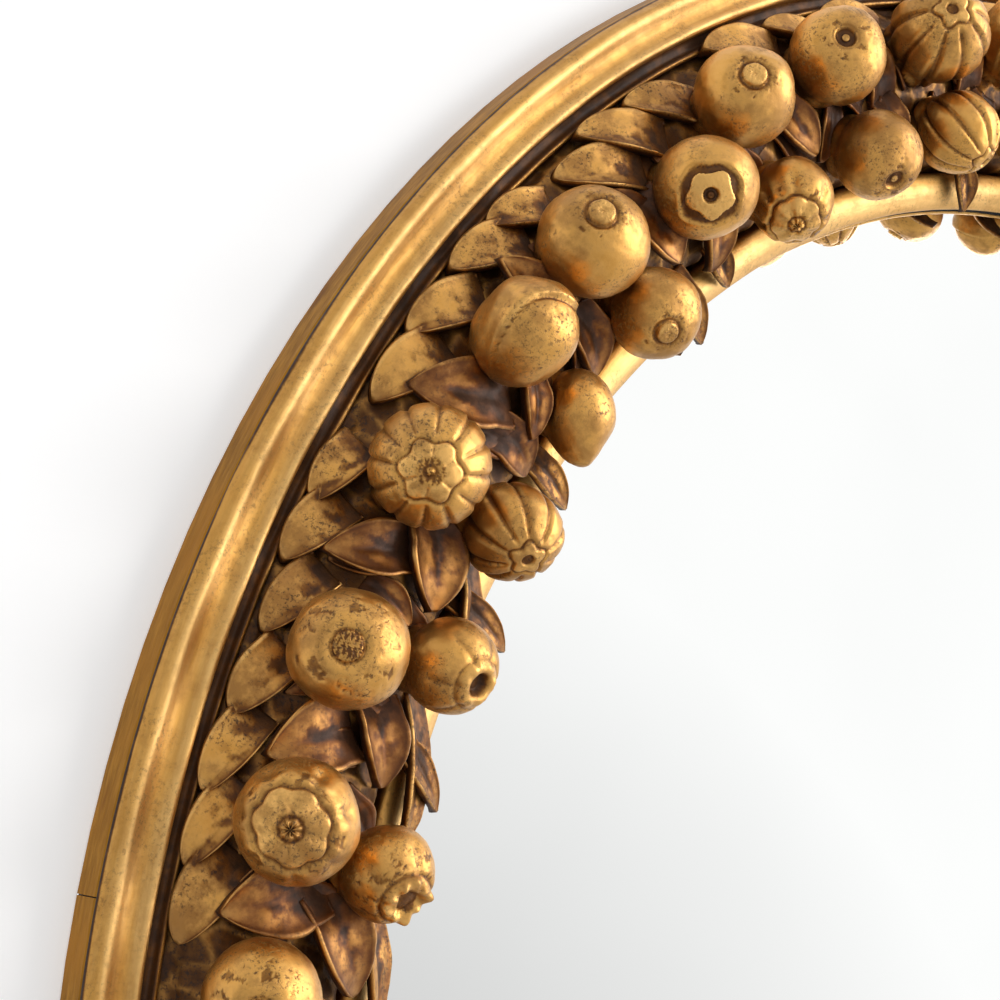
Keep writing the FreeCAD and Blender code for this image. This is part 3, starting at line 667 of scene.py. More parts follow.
@dataclass(frozen=True)
class WorkedMetal:
    """Plain fittings metal: stamped brass, zinc-plated steel or drawn wire, with handling marks."""

    name: str
    tint: str
    dull: str
    rough: float
    mark_mm: float = 0.6

    def material(self) -> Material:
        """The finish as a material."""
        material, tree, shader = new_material(self.name)
        place = object_place(tree)
        marks = grain(tree, place, self.mark_mm, 4.0, 0.7)
        cloud = grade(tree, grain(tree, place, 7.0, 3.0, 0.6), 0.35, 0.75)
        tint = blend(tree, cloud, colour(self.tint), colour(self.dull))
        tree.links.new(tint, shader.inputs["Base Color"])
        shader.inputs["Metallic"].default_value = 1.0
        rough = plus(tree, self.rough, times(tree, marks, 0.2))
        tree.links.new(rough, shader.inputs["Roughness"])
        ridged(tree, shader, marks, 0.12, 0.2)
        return material


@dataclass(frozen=True)
class PressedSheet:
    """Pressed fibre, felt or cork: a dull sheet whose fibres or crumbs show as small spots."""

    name: str
    pale: str
    dark: str
    spot_mm: float
    rough: float = 0.85
    relief: float = 0.4

    def material(self) -> Material:
        """The finish as a material."""
        material, tree, shader = new_material(self.name)
        place = object_place(tree)
        spots = grain(tree, place, self.spot_mm, 4.0, 0.7)
        cloud = grain(tree, place, self.spot_mm * 12.0, 3.0, 0.6)
        tint = blend(tree, grade(tree, spots, 0.3, 0.7), colour(self.dark), colour(self.pale))
        tint = blend(tree, times(tree, grade(tree, cloud, 0.45, 0.75), 0.3), tint, colour(self.dark))
        tree.links.new(tint, shader.inputs["Base Color"])
        shader.inputs["Roughness"].default_value = self.rough
        ridged(tree, shader, spots, self.relief, 0.4)
        return material


# ---------------------------------------------------------------- sizes that several parts share
@dataclass(frozen=True)
class FrameSizes:
    """Main sizes of the frame, in millimetres."""

    rim_r: float = 450.0
    band_depth: float = 10.8
    rebate_r: float = 352.0
    sight_r: float = 342.4
    sight_step: float = 14.0
    lip_r: float = 358.0
    mould_r: float = 425.0
    fillet_w: float = 2.4
    groove_floor: float = 2.4
    chamfer: float = 0.6
    bed_arc_r: float = 389.0
    bed_arc_depth: float = -8.5
    bed_round: float = 41.5

    def bed_height(self, radius: float | np.ndarray) -> float | np.ndarray:
        """Depth of the garland bed's round back at a radius."""
        return self.bed_arc_depth + np.sqrt(self.bed_round ** 2 - (radius - self.bed_arc_r) ** 2)


SIZES = FrameSizes()


# ---------------------------------------------------------------- turned rings
@dataclass
class TurnedRings:
    """The outer moulding, the bed under the garland and the sight lip, turned and then finished by hand."""

    around: int = 1200
    arc_steps: int = 12
    longest: float = 1.0
    softening: int = 5
    bed_cuts: int = 272

    def sweep(self, steps: list, hand: float, seed: int) -> tuple[np.ndarray, np.ndarray, np.ndarray]:
        """Turns a section round the axis with hand-made unevenness.

        Args:
            steps: the section.
            hand: how far the surface wanders, in millimetres, always into the wood.
            seed: picks the pattern.

        Returns:
            Radius, angle and depth arrays, one row per step round the ring.
        """
        outline = section(steps, self.arc_steps, self.longest)
        # The gesso rounds every arris that the turning left sharp.
        low, high = SIZES.band_depth + 2.0, SIZES.band_depth + 3.0
        for _pass in range(self.softening):
            mean = 0.5 * outline + 0.25 * (np.roll(outline, 1, axis=0) + np.roll(outline, -1, axis=0))
            outline = outline + (mean - outline) * ramp(outline[:, 1:], low, high)
        turn = np.linspace(0, 2 * math.pi, self.around, endpoint=False)[:, None]
        radius = outline[None, :, 0] + 0 * turn
        depth = outline[None, :, 1] + 0 * turn
        turn = turn + 0 * radius
        spots = ring_points(radius * 0.35, turn, depth * 4.0).reshape(-1, 3)
        uneven = wobble(spots, 0.020, seed, 3).reshape(radius.shape)
        low = SIZES.band_depth + 0.8
        free = ramp(depth, low, low + 1.5)
        middle = outline.mean(axis=0)
        length = np.hypot(radius - middle[0], depth - middle[1]) + 1e-6
        push = -hand * (0.5 + 0.5 * np.clip(uneven, -1, 1)) * free
        radius = radius + push * (radius - middle[0]) / length
        depth = depth + push * (depth - middle[1]) / length
        return radius, turn, depth

    def ring(self, arrays: tuple, wear: np.ndarray, toning_and_shade: np.ndarray) -> Shape:
        """A closed ring from its arrays and painted values."""
        radius, turn, depth = arrays
        faces = loft(radius.shape[0], radius.shape[1], True, True)
        return Shape(ring_points(radius, turn, depth).reshape(-1, 3), [faces], wear.ravel(), toning_and_shade.ravel())

    def moulding(self) -> Shape:
        """The outer moulding: ovolo, hollow, crest, dark sunk line and flat fillet."""
        s, r, d = SIZES, SIZES.rim_r, SIZES.band_depth
        inner = s.mould_r + s.fillet_w
        ovolo = ((r - 1.4, d + 4.6), (r - 5.2, d + 5.8))
        hollow = ((r - 9.6, d + 4.4), (r - 13.6, d + 6.4))
        crest = ((r - 15.6, d + 7.8), (r - 17.5, d + 6.0))
        sunk_line = [(r - 18.0, d + s.groove_floor), (inner + 0.3, d + s.groove_floor)]
        fillet = [(inner, d + 5.4), (s.mould_r, d + 5.0)]
        foot = [(s.mould_r, d), (r - s.chamfer, d), (r, d + s.chamfer), (r, d + 1.4)]
        radius, turn, depth = self.sweep(foot + [ovolo, hollow, crest] + sunk_line + fillet, 0.35, 3)
        line = ramp(-radius, -(inner + 5.0), -(inner + 4.2)) * ramp(-depth, -(d + 6.9), -(d + 5.9))
        line = line * (1 - 0.7 * ramp(-radius, -inner, -(inner - 0.6)) * ramp(depth, d + 4.0, d + 4.8))
        # Painted shade darkens the hollow of the moulding a little.
        painted_cove_shade = 0.12 * bell(radius, r - 9.6, 2.4)
        spots = np.stack([turn * 60, radius, 0 * turn], -1).reshape(-1, 3)
        ragged = wobble(spots, 9.0, 8, 3).reshape(radius.shape)
        corner = 1.25 * ramp(-depth, -(d + 2.3 + 0.5 * ragged), -(d + 1.2))
        wear = bell(radius, r - 5.4, 2.6) + 0.7 * bell(radius, r - 15.0, 2.2)
        return self.ring((radius, turn, depth), wear * (1 - line), np.clip(line + painted_cove_shade + corner, 0, 1.25))

    def bed(self) -> Shape:
        """The round-backed bed, chiselled rough between the carvings."""
        s = SIZES
        steps = [
            (s.lip_r, s.band_depth), (s.mould_r, s.band_depth), (s.mould_r, float(s.bed_height(s.mould_r))),
            ((s.bed_arc_r, s.bed_arc_depth + s.bed_round), (s.lip_r, float(s.bed_height(s.lip_r)))),
        ]
        radius, turn, depth = TurnedRings(around=2000, arc_steps=56, longest=8.0).sweep(steps, 0.8, 5)
        lean = np.arctan2(radius - s.bed_arc_r, depth - s.bed_arc_depth)
        count, cut_mm = self.bed_cuts, 13.0
        hollow, ridge = gouges(lean * s.bed_round / cut_mm + 8, turn * count / (2 * math.pi), count, 6)
        cut = 1.5 * hollow * ramp(depth, s.band_depth + 2.0, s.band_depth + 4.0)
        arrays = (radius - cut * np.sin(lean), turn, depth - cut * np.cos(lean))
        return self.ring(arrays, 0.7 * ridge, 0.35 + 0.35 * hollow)

    def lip(self) -> Shape:
        """The rounded sight lip next to the glass."""
        s = SIZES
        top = float(s.bed_height(s.lip_r)) - 0.6
        steps = [
            (s.rebate_r, s.band_depth), (s.lip_r, s.band_depth), (s.lip_r, top),
            ((s.rebate_r + 0.6, 20.0), (s.sight_r + 3.2, 17.6)),
            (s.sight_r, 15.6), (s.sight_r, s.sight_step), (s.rebate_r, s.sight_step),
        ]
        radius, turn, depth = self.sweep(steps, 0.3, 9)
        wear = bell(radius, s.sight_r + 6.0, 5.0)
        # Darker toward the outer edge, where the lip meets the bed.
        toning_and_shade = ramp(radius, s.lip_r - 2.5, s.lip_r) * 0.7
        return self.ring((radius, turn, depth), wear, toning_and_shade)

    def build(self) -> Shape:
        """Makes the three rings, and gives them back as one shape."""
        turned = AntiqueGilding(
            "burnished_water_gilding", bright="#EBBE76", body="#CC984B", rough=0.44, tone_mm=34.0,
            speck_mm=0.7, specks=0.35, patina=0.22, streaks=Streaks.TURNED,
        ).material()
        ground = AntiqueGilding(
            "toned_gilding_on_carved_ground", bright="#C08C46", body="#8F6230", deep="#54341A", rough=0.42,
            speck_mm=0.9, specks=0.8, fine_mm=4.0,
        ).material()
        moulding, bed, lip = self.moulding(), self.bed(), self.lip()
        piece("turned_outer_moulding", moulding, turned, ["outer_moulding"])
        piece("carved_garland_bed", bed, ground, ["garland_bed"])
        piece("turned_sight_lip", lip, turned, ["sight_lip"])
        return bed.joined([lip, moulding])


# ---------------------------------------------------------------- convex glass
@dataclass
class ConvexGlass:
    """The convex mirror glass: a shallow cap of a sphere with a ground edge."""

    dome_r: float = 1200.0
    thickness: float = 3.0
    edge_r: float = 350.0
    at_sight: float = 12.8
    rings: int = 90
    around: int = 360

    def depth(self, radius: np.ndarray, back: float) -> np.ndarray:
        """Depth of the front face, or of one so far behind it."""
        centre = self.at_sight - math.sqrt(self.dome_r ** 2 - SIZES.sight_r ** 2)
        return centre + np.sqrt((self.dome_r - back) ** 2 - radius ** 2)

    def build(self) -> None:
        """Makes the glass."""
        radius = self.edge_r * np.linspace(0, 1, self.rings + 1)[1:]
        front, back = self.depth(radius, 0.0), self.depth(radius, self.thickness)
        radius, depth = np.concatenate([radius, radius[::-1]]), np.concatenate([front, back[::-1]])
        turn = np.linspace(0, 2 * math.pi, self.around, endpoint=False)
        points = revolved(radius, turn, depth)
        rows, count = len(radius), len(points)
        middle = np.zeros(1)
        middle_depths = np.concatenate([self.depth(middle, 0.0), self.depth(middle, self.thickness)])
        poles = ring_points(np.zeros(2), np.zeros(2), middle_depths)
        faces = [
            loft(rows, self.around, False, True)[:, ::-1],
            fan(count, np.arange(self.around))[:, ::-1],
            fan(count + 1, np.arange(count - self.around, count)),
        ]
        blank = np.zeros(count + 2)
        shape = Shape(np.concatenate([points, poles]), faces, blank, blank)
        piece("silvered_convex_glass", shape, SilveredGlass().material(), ["convex_glass"])


# ---------------------------------------------------------------- carved garland
class Crown(Enum):
    """How the carver finished the top of a fruit."""

    BUTTON = "raised button in a groove"
    DENT = "shallow stippled dent"
    DIMPLE = "sunken dimple"
    SCALLOP = "scalloped disc with folds"
    STAR = "five-lobed star in a recess"
    RAGGED = "ragged standing crown"
    SOCKET = "open socket with a fluted rim"
    PETALS = "six petals over many ribs"
    RIBS = "ribs that meet in a small star"
    CLEFT = "cleft stone fruit"
    NIPPLE = "pointed lemon"


class Wood(Enum):
    """The kinds of fruit, by the name of their CAD nodes."""

    APPLE = "apples"
    POMEGRANATE = "pomegranates"
    MELON = "melons"
    PLUM = "plums"
    LEMON = "lemon"


@dataclass(frozen=True)
class Fruit:
    """One fruit: its kind, its place and which way its crown points (outward, counter-clockwise, forward)."""

    wood: Wood
    angle: float
    radius: float
    size: float
    sink: float
    aim: tuple[float, float, float]
    crown: Crown
    spin: float = 0.0

    def centre(self) -> np.ndarray:
        """Centre of the ball in metres."""
        reach = SIZES.bed_round + self.size - self.sink
        depth = SIZES.bed_arc_depth + math.sqrt(reach ** 2 - (self.radius - SIZES.bed_arc_r) ** 2)
        return at(self.angle, self.radius, depth)

    def turn(self) -> np.ndarray:
        """Rotation matrix that points +Z along the crown."""
        axes = directions(self.angle)
        aim = unit(sum(axis * part for axis, part in zip(axes, self.aim)))
        turned = Vector((0, 0, 1)).rotation_difference(Vector(aim)).to_matrix()
        return np.array(turned @ Matrix.Rotation(math.radians(self.spin), 3, "Z"))


@dataclass
class Relief:
    """The carving on a ball: height over it and painted values, all in parts of its radius."""

    rho: np.ndarray
    phi: np.ndarray
    way: np.ndarray
    height: np.ndarray = field(init=False)
    wear: np.ndarray = field(init=False)
    toning_and_shade: np.ndarray = field(init=False)

    def __post_init__(self) -> None:
        """Starts from a plain ball."""
        self.height = np.zeros_like(self.rho)
        self.wear = np.zeros_like(self.rho) + 0.45
        self.toning_and_shade = np.zeros_like(self.rho)

    def inside(self, edge: float | np.ndarray, soft: float = 0.05) -> np.ndarray:
        """1 inside an outline round the crown, 0 outside it."""
        return 1.0 - ramp(self.rho, edge, edge + soft)

    def groove(self, middle: float | np.ndarray, width: float, depth: float, toning_and_shade: float = 0.9) -> None:
        """A ring cut round the crown.

        Args:
            middle: its angle from the crown.
            width: its half width.
            depth: how deep it is.
            toning_and_shade: how dark it is.
        """
        line = np.exp(-((self.rho - middle) / width) ** 2)
        self.height -= depth * line
        self.toning_and_shade = np.maximum(self.toning_and_shade, toning_and_shade * line)

    def flat(self) -> np.ndarray:
        """Places on the ball as seen down the crown, for patterns round it."""
        return np.stack([self.rho * np.cos(self.phi), self.rho * np.sin(self.phi), 0 * self.rho], -1)

    def flutes(
        self, count: int, sharp: float, depth: float, start: float, stop: float, toning_and_shade: float = 0.8,
    ) -> None:
        """Cuts that run from crown to foot.

        Args:
            count: how many.
            sharp: how narrow each is.
            depth: how deep.
            start: angle from the crown where they start.
            stop: where they stop.
            toning_and_shade: how dark they are.
        """
        uneven = 0.12 * np.sin(3 * self.phi + 1.0) + 0.08 * np.sin(2 * self.rho + self.phi)
        line = (0.5 + 0.5 * np.cos(count * (self.phi + uneven / count * 2))) ** sharp
        line = line * ramp(self.rho, start, start + 0.25) * (1 - ramp(self.rho, stop - 0.4, stop))
        self.height -= depth * line
        self.toning_and_shade = np.maximum(self.toning_and_shade, toning_and_shade * line)

    def carve(self, crown: Crown) -> None:
        """Cuts the crown.

        Args:
            crown: which one.
        """
        getattr(self, "cut_" + crown.name.lower())()

    def stipple(self, edge: float, share: float) -> None:
        """Punch marks round the crown that hold dark toning."""
        spots = wobble(self.flat(), 0.09, 4, 2)
        area = self.inside(edge, 0.12)
        self.height -= 0.012 * area * ramp(spots, 0.0, 0.5) * share
        self.toning_and_shade = np.maximum(self.toning_and_shade, area * share * (0.45 + 0.5 * ramp(spots, -0.3, 0.4)))

    def chips(self, near: float, far: float, share: float, seed: int) -> None:
        """Broken chips in the gilding, in a band round the crown.

        Args:
            near: the band's inner angle from the crown.
            far: its outer angle.
            share: how much of the band they take, from 0 to 1.
            seed: picks their places.
        """
        spots = wobble(self.flat(), 0.42, seed, 3) + 0.5 * wobble(self.flat(), 0.12, seed + 9, 2)
        band = ramp(self.rho, near, near + 0.08) * (1 - ramp(self.rho, far - 0.08, far))
        chip = band * ramp(spots, 0.85 - share, 1.25 - share)
        self.height -= 0.015 * chip
        self.toning_and_shade = np.maximum(self.toning_and_shade, 0.75 * chip)

    def cut_button(self) -> None:
        """A flat round button in a stippled groove."""
        self.height -= 0.05 * bell(self.rho, 0.0, 0.5)
        self.stipple(0.42, 0.55)
        self.chips(0.36, 0.62, 0.35, 21)
        self.groove(0.32, 0.055, 0.06)
        top = self.inside(0.235, 0.03)
        self.height += 0.035 * top - 0.02 * self.inside(0.05, 0.04)
        self.wear += 0.5 * top
        self.toning_and_shade *= 1 - 0.85 * top

    def cut_dent(self) -> None:
        """A shallow stippled dent with a low knob."""
        self.height -= 0.06 * self.inside(0.3, 0.2)
        self.stipple(0.27, 1.0)
        self.groove(0.31 + 0.01 * np.cos(5 * self.phi), 0.035, 0.035, 0.75)
        self.groove(0.5 + 0.02 * np.sin(2 * self.phi), 0.04, 0.010, 0.35)
        self.height += 0.02 * self.inside(0.24, 0.04)
        self.chips(0.5, 1.05, 0.5, 22)

    def cut_dimple(self) -> None:
        """A deep smooth dimple with a round pit."""
        self.height -= 0.10 * bell(self.rho, 0.0, 0.5)
        pit = self.inside(0.23, 0.06)
        self.height -= 0.13 * pit
        self.toning_and_shade = np.maximum(self.toning_and_shade, 0.95 * pit)
        self.groove(0.31, 0.05, 0.02, 0.6)
        self.chips(0.3, 0.62, 0.35, 25)
        knob = self.inside(0.09, 0.03)
        self.height += 0.06 * knob
        self.wear += 0.4 * knob
        self.toning_and_shade *= 1 - 0.6 * knob

    def cut_scallop(self) -> None:
        """A broad scalloped disc, folds down to it and a button."""
        edge = 0.66 + 0.06 * np.abs(np.cos(3.5 * self.phi)) + 0.03 * np.sin(2 * self.phi)
        self.flutes(7, 4.0, 0.075, 0.62, 1.5, 0.45)
        self.height += 0.05 * bell(self.rho, 0.88, 0.16) * (0.6 + 0.4 * np.cos(7 * self.phi))
        self.chips(0.7, 1.1, 0.35, 23)
        self.groove(edge, 0.05, 0.075)
        disc = self.inside(edge - 0.06, 0.05)
        self.height += 0.02 * disc * (1 + np.cos(7 * self.phi + 0.4))
        self.stipple(0.42, 0.5)
        self.groove(0.2, 0.04, 0.04)
        self.wear += 0.45 * disc * ramp(self.rho, 0.22, 0.4)
        self.height += 0.02 * self.inside(0.12, 0.04)

    def cut_star(self) -> None:
        """A raised five-lobed star in a dark uneven recess, with a hole in its middle."""
        edge = 0.63 + 0.03 * np.cos(4 * self.phi + 0.8) + 0.02 * np.sin(7 * self.phi)
        recess = self.inside(edge, 0.05)
        star = self.inside(0.455 + 0.045 * np.cos(5 * self.phi) + 0.015 * np.cos(3 * self.phi), 0.035)
        self.height += -0.10 * recess + 0.115 * star
        self.toning_and_shade = np.maximum(self.toning_and_shade, 0.95 * recess * (1 - star))
        self.stipple(0.62, 0.35)
        hole = self.inside(0.135, 0.03)
        self.height -= 0.10 * hole - 0.05 * self.inside(0.06, 0.03)
        self.toning_and_shade = np.maximum(self.toning_and_shade * (1 - 0.9 * star), 0.9 * hole)
        self.wear += 0.55 * star * (1 - hole)

    def cut_ragged(self) -> None:
        """A beaded, broken crown that stands up."""
        beads = 0.45 + 0.35 * np.cos(9 * self.phi) + 0.35 * np.sin(4 * self.phi + 1)
        wall = bell(self.rho, 0.46 + 0.07 * np.cos(4 * self.phi), 0.11)
        self.height += 0.12 * wall * beads - 0.15 * self.inside(0.26 + 0.05 * np.cos(3 * self.phi), 0.12)
        self.toning_and_shade = np.maximum(self.toning_and_shade, 0.9 * self.inside(0.26, 0.08))
        self.toning_and_shade = np.maximum(self.toning_and_shade, 0.7 * wall * ramp(-beads, -0.5, 0.0))
        self.groove(0.66, 0.06, 0.05, 0.85)
        self.chips(0.6, 1.3, 0.45, 24)
        self.wear += 0.4 * wall
        self.flutes(5, 8.0, 0.04, 0.6, 1.6, 0.5)

    def cut_socket(self) -> None:
        """An open socket with a fluted rim and folds running to it."""
        self.height -= 0.24 * self.inside(0.2, 0.12)
        rim = bell(self.rho, 0.42, 0.09)
        self.height += 0.06 * rim * (0.65 + 0.35 * np.cos(6 * self.phi))
        self.toning_and_shade = np.maximum(self.toning_and_shade, 0.95 * self.inside(0.24, 0.1))
        self.groove(0.62, 0.05, 0.035, 0.7)
        self.flutes(6, 7.0, 0.03, 0.3, 1.5, 0.6)
        self.wear += 0.4 * rim

    def cut_petals(self) -> None:
        """Many ribs under a flat flower of six petals."""
        self.flutes(12, 9.0, 0.06, 0.5, 2.9)
        edge = 0.47 + 0.06 * np.cos(6 * self.phi)
        self.groove(edge + 0.07, 0.035, 0.05)
        flower = self.inside(edge, 0.04)
        self.height += 0.015 * flower
        between = (0.5 - 0.5 * np.cos(6 * self.phi)) ** 8 * self.inside(edge, 0.04) * ramp(self.rho, 0.2, 0.3)
        self.height -= 0.03 * between
        self.toning_and_shade = np.maximum(self.toning_and_shade * (1 - 0.8 * flower), 0.7 * between)
        self.stipple(0.2, 0.9)
        self.groove(0.1, 0.05, 0.05)
        self.wear += 0.5 * flower * ramp(self.rho, 0.2, 0.3)

    def cut_ribs(self) -> None:
        """Deep cuts that run up to a small five-lobed star."""
        self.flutes(10, 7.0, 0.075, 0.36, 2.9)
        edge = 0.3 + 0.06 * np.cos(5 * self.phi)
        star = self.inside(edge, 0.04)
        self.groove(edge + 0.07, 0.04, 0.05)
        self.height += 0.01 * star - 0.08 * self.inside(0.1, 0.05)
        self.toning_and_shade = np.maximum(self.toning_and_shade * (1 - 0.7 * star), 0.95 * self.inside(0.11, 0.04))
        self.wear += 0.4 * star

    def cut_cleft(self) -> None:
        """A hood over the upper side of the fruit, with a thin bright edge."""
        across, above = self.way @ np.array([0.604, -0.797, 0.0]), self.way @ np.array([0.167, 0.127, 0.978])
        front = ramp(self.way @ np.array([-0.78, -0.59, 0.21]), -0.35, 0.0)
        over = above - (0.08 + 1.15 * across - 0.9 * across ** 2)
        fade = front * ramp(across, -0.7, -0.3)
        self.height += 0.085 * ramp(over, -0.015, 0.05) * fade - 0.05 * bell(over, 0.55, 0.3) * fade
        line = bell(over, -0.045, 0.04) * fade
        self.height -= 0.03 * line
        self.toning_and_shade = np.maximum(self.toning_and_shade, 0.9 * line)
        self.wear += 0.55 * bell(over, 0.06, 0.05) * fade

    def cut_nipple(self) -> None:
        """A smooth blunt point."""
        self.toning_and_shade = np.maximum(self.toning_and_shade, 0.5 * bell(self.rho, 0.25, 0.06))


@dataclass(frozen=True)
class Blade:
    """How the carver shaped one leaf, in millimetres along, across and over the line from base to tip.

    Attributes:
        width: greatest width.
        rise: height of its arch.
        thick: thickness in the middle.
        skew: share of the width by which the middle swings to one side.
        dish: share of the width by which the edges curl up.
        tilt: how far the lower edge stands over the middle.
        bulge: width of the upper and of the lower half, as shares of an even half.
        rib: depth of the cut along the midrib.
        blunt: 0 for a pointed tip, 1 for a round one.
    """

    width: float
    rise: float
    thick: float
    skew: float
    dish: float
    tilt: float
    bulge: tuple[float, float]
    rib: float
    blunt: float = 0.0

    def form(self, u: np.ndarray, v: np.ndarray) -> tuple[np.ndarray, np.ndarray, np.ndarray]:
        """The leaf's surface.

        Args:
            u: share of the way from base to tip, one column.
            v: share of the way across, from -1 at the upper edge to 1 at the lower.

        Returns:
            Distance across, height, and how much each place belongs to the midrib's cut.
        """
        oval = np.sin(math.pi * np.clip(u, 0.012, 0.988) ** 0.82) ** 0.75
        broad = np.maximum(oval, 0.9 * (1 - ramp(u, 0.3, 0.8)))
        round_end = np.clip(1 - np.clip(u, 0, 0.995) ** 2.6, 0, 1) ** 0.5
        broad = broad + self.blunt * (round_end - broad)
        half = 0.5 * self.width * broad * np.where(v < 0, self.bulge[0], self.bulge[1])
        side = v * half + self.skew * self.width * np.sin(math.pi * u)
        arch = self.rise * (1 - (2 * u - 1) ** 2)
        bowl = self.dish * self.width * np.abs(v) ** 2.2 * broad
        lean = self.tilt * v * broad * (0.4 + 0.6 * u)
        line = np.exp(-((v - 0.12 * (1 - u)) / 0.17) ** 2) * ramp(u, 0.02, 0.15) * (1 - ramp(u, 0.6, 0.9))
        rim = 0.45 * np.exp(-((np.abs(v) - 0.9) / 0.07) ** 2) - 0.5 * ramp(np.abs(v), 0.93, 1.0)
        return side, arch + bowl + lean - self.rib * line + rim * broad, line


class LeafRow(Enum):
    """The rows of leaves, by the name of their CAD nodes. The ground leaves go with the middle row's."""

    OUTER = "outer_leaves"
    MIDDLE = "middle_leaves"
    INNER = "inner_leaves"
    GROUND = "ground_leaves"

    def blade(self, leaf: "Leaf", seed: int) -> Blade:
        """The form of a leaf in this row.

        Args:
            leaf: its place and size.
            seed: picks its own unevenness.

        Returns:
            The form.
        """
        rng = np.random.default_rng(seed)
        skew, curl = rng.uniform(-0.08, 0.08), rng.uniform(0.6, 1.2)
        if self is LeafRow.OUTER:
            return Blade(
                width=1.34 * leaf.width, rise=leaf.rise + 0.2, thick=6.0, skew=0.0, dish=0.04 * curl,
                tilt=2.0, bulge=(1.4, 0.62), rib=0.15, blunt=0.75,
            )
        if self is LeafRow.MIDDLE:
            return Blade(
                width=1.38 * leaf.width, rise=leaf.rise + 0.6, thick=5.0, skew=skew, dish=0.15 * curl,
                tilt=0.8, bulge=(1.0, 1.0), rib=0.5, blunt=0.3,
            )
        if self is LeafRow.GROUND:
            return Blade(
                width=leaf.width, rise=leaf.rise, thick=2.6, skew=skew, dish=0.12 * curl,
                tilt=0.3, bulge=(1.0, 1.0), rib=0.7, blunt=0.35,
            )
        return Blade(
            width=1.2 * leaf.width, rise=leaf.rise, thick=3.4, skew=skew, dish=0.10 * curl,
            tilt=0.4, bulge=(1.0, 1.0), rib=0.6,
        )


@dataclass(frozen=True)
class Leaf:
    """One leaf: base and tip as angle and radius, width, depth of the tip and rise of its arch."""

    base_angle: float
    base_r: float
    tip_angle: float
    tip_r: float
    width: float
    tip_depth: float
    rise: float


# Each fruit: kind, angle, radius, size, how deep it sits in the bed, aim, crown and spin.
A, P, M, U, L = Wood.APPLE, Wood.POMEGRANATE, Wood.MELON, Wood.PLUM, Wood.LEMON
FRUITS = (
    Fruit(A, 169.1, 408.6, 18.3, 3.4, (0.6, 0.2, 0.8), Crown.DENT),
    Fruit(P, 161.7, 408.8, 19.4, 3.4, (0.64, 0.2, 0.74), Crown.SCALLOP, 20),
    Fruit(A, 154.0, 408.8, 19.2, 3.4, (0.59, 0.18, 0.79), Crown.DENT),
    Fruit(M, 144.9, 408.4, 20.1, 3.4, (0.46, 0.46, 0.76), Crown.PETALS, 10),
    Fruit(U, 136.3, 403.3, 17.0, 3.4, (0.25, -0.55, 0.8), Crown.CLEFT, 60),
    Fruit(A, 130.1, 405.6, 19.2, 3.4, (0.65, 0.07, 0.76), Crown.BUTTON),
    Fruit(P, 121.7, 391.2, 18.9, 6.0, (0.08, 0.68, 0.73), Crown.STAR, 15),
    Fruit(A, 116.4, 410.2, 18.6, 3.4, (0.51, 0.34, 0.79), Crown.BUTTON),
    Fruit(A, 108.6, 409.8, 18.6, 3.4, (0.43, 0.47, 0.77), Crown.DIMPLE),
    Fruit(M, 100.0, 410.2, 20.0, 3.4, (0.38, 0.5, 0.78), Crown.RIBS),
    Fruit(U, 92.4, 408.6, 17.0, 3.4, (0.5, 0.3, 0.8), Crown.CLEFT),
    Fruit(A, 85.6, 408.8, 18.6, 3.4, (0.6, 0.2, 0.78), Crown.BUTTON),
    Fruit(P, 162.8, 368.5, 15.5, 2.0, (-0.12, 0.56, 0.82), Crown.RAGGED),
    Fruit(P, 152.1, 366.3, 15.8, 2.0, (-0.23, 0.33, 0.92), Crown.SOCKET),
    Fruit(M, 144.3, 366.0, 16.8, 2.0, (-0.1, 0.62, 0.78), Crown.RIBS),
    Fruit(L, 135.9, 361.9, 12.5, 2.0, (-0.6, 0.78, 0.17), Crown.NIPPLE),
    Fruit(A, 128.6, 368.4, 16.4, 2.0, (-0.2, 0.61, 0.77), Crown.BUTTON),
    Fruit(P, 115.1, 367.3, 15.7, 2.0, (-0.42, 0.73, 0.55), Crown.SCALLOP),
    Fruit(A, 107.2, 369.1, 17.2, 2.0, (-0.64, 0.36, 0.68), Crown.DIMPLE),
    Fruit(M, 99.3, 371.0, 16.6, 2.0, (-0.79, -0.1, 0.6), Crown.RIBS),
    Fruit(A, 90.8, 369.0, 16.2, 2.0, (-0.5, 0.4, 0.77), Crown.BUTTON),
    Fruit(U, 82.4, 368.8, 15.0, 2.0, (-0.4, 0.4, 0.82), Crown.CLEFT),
)
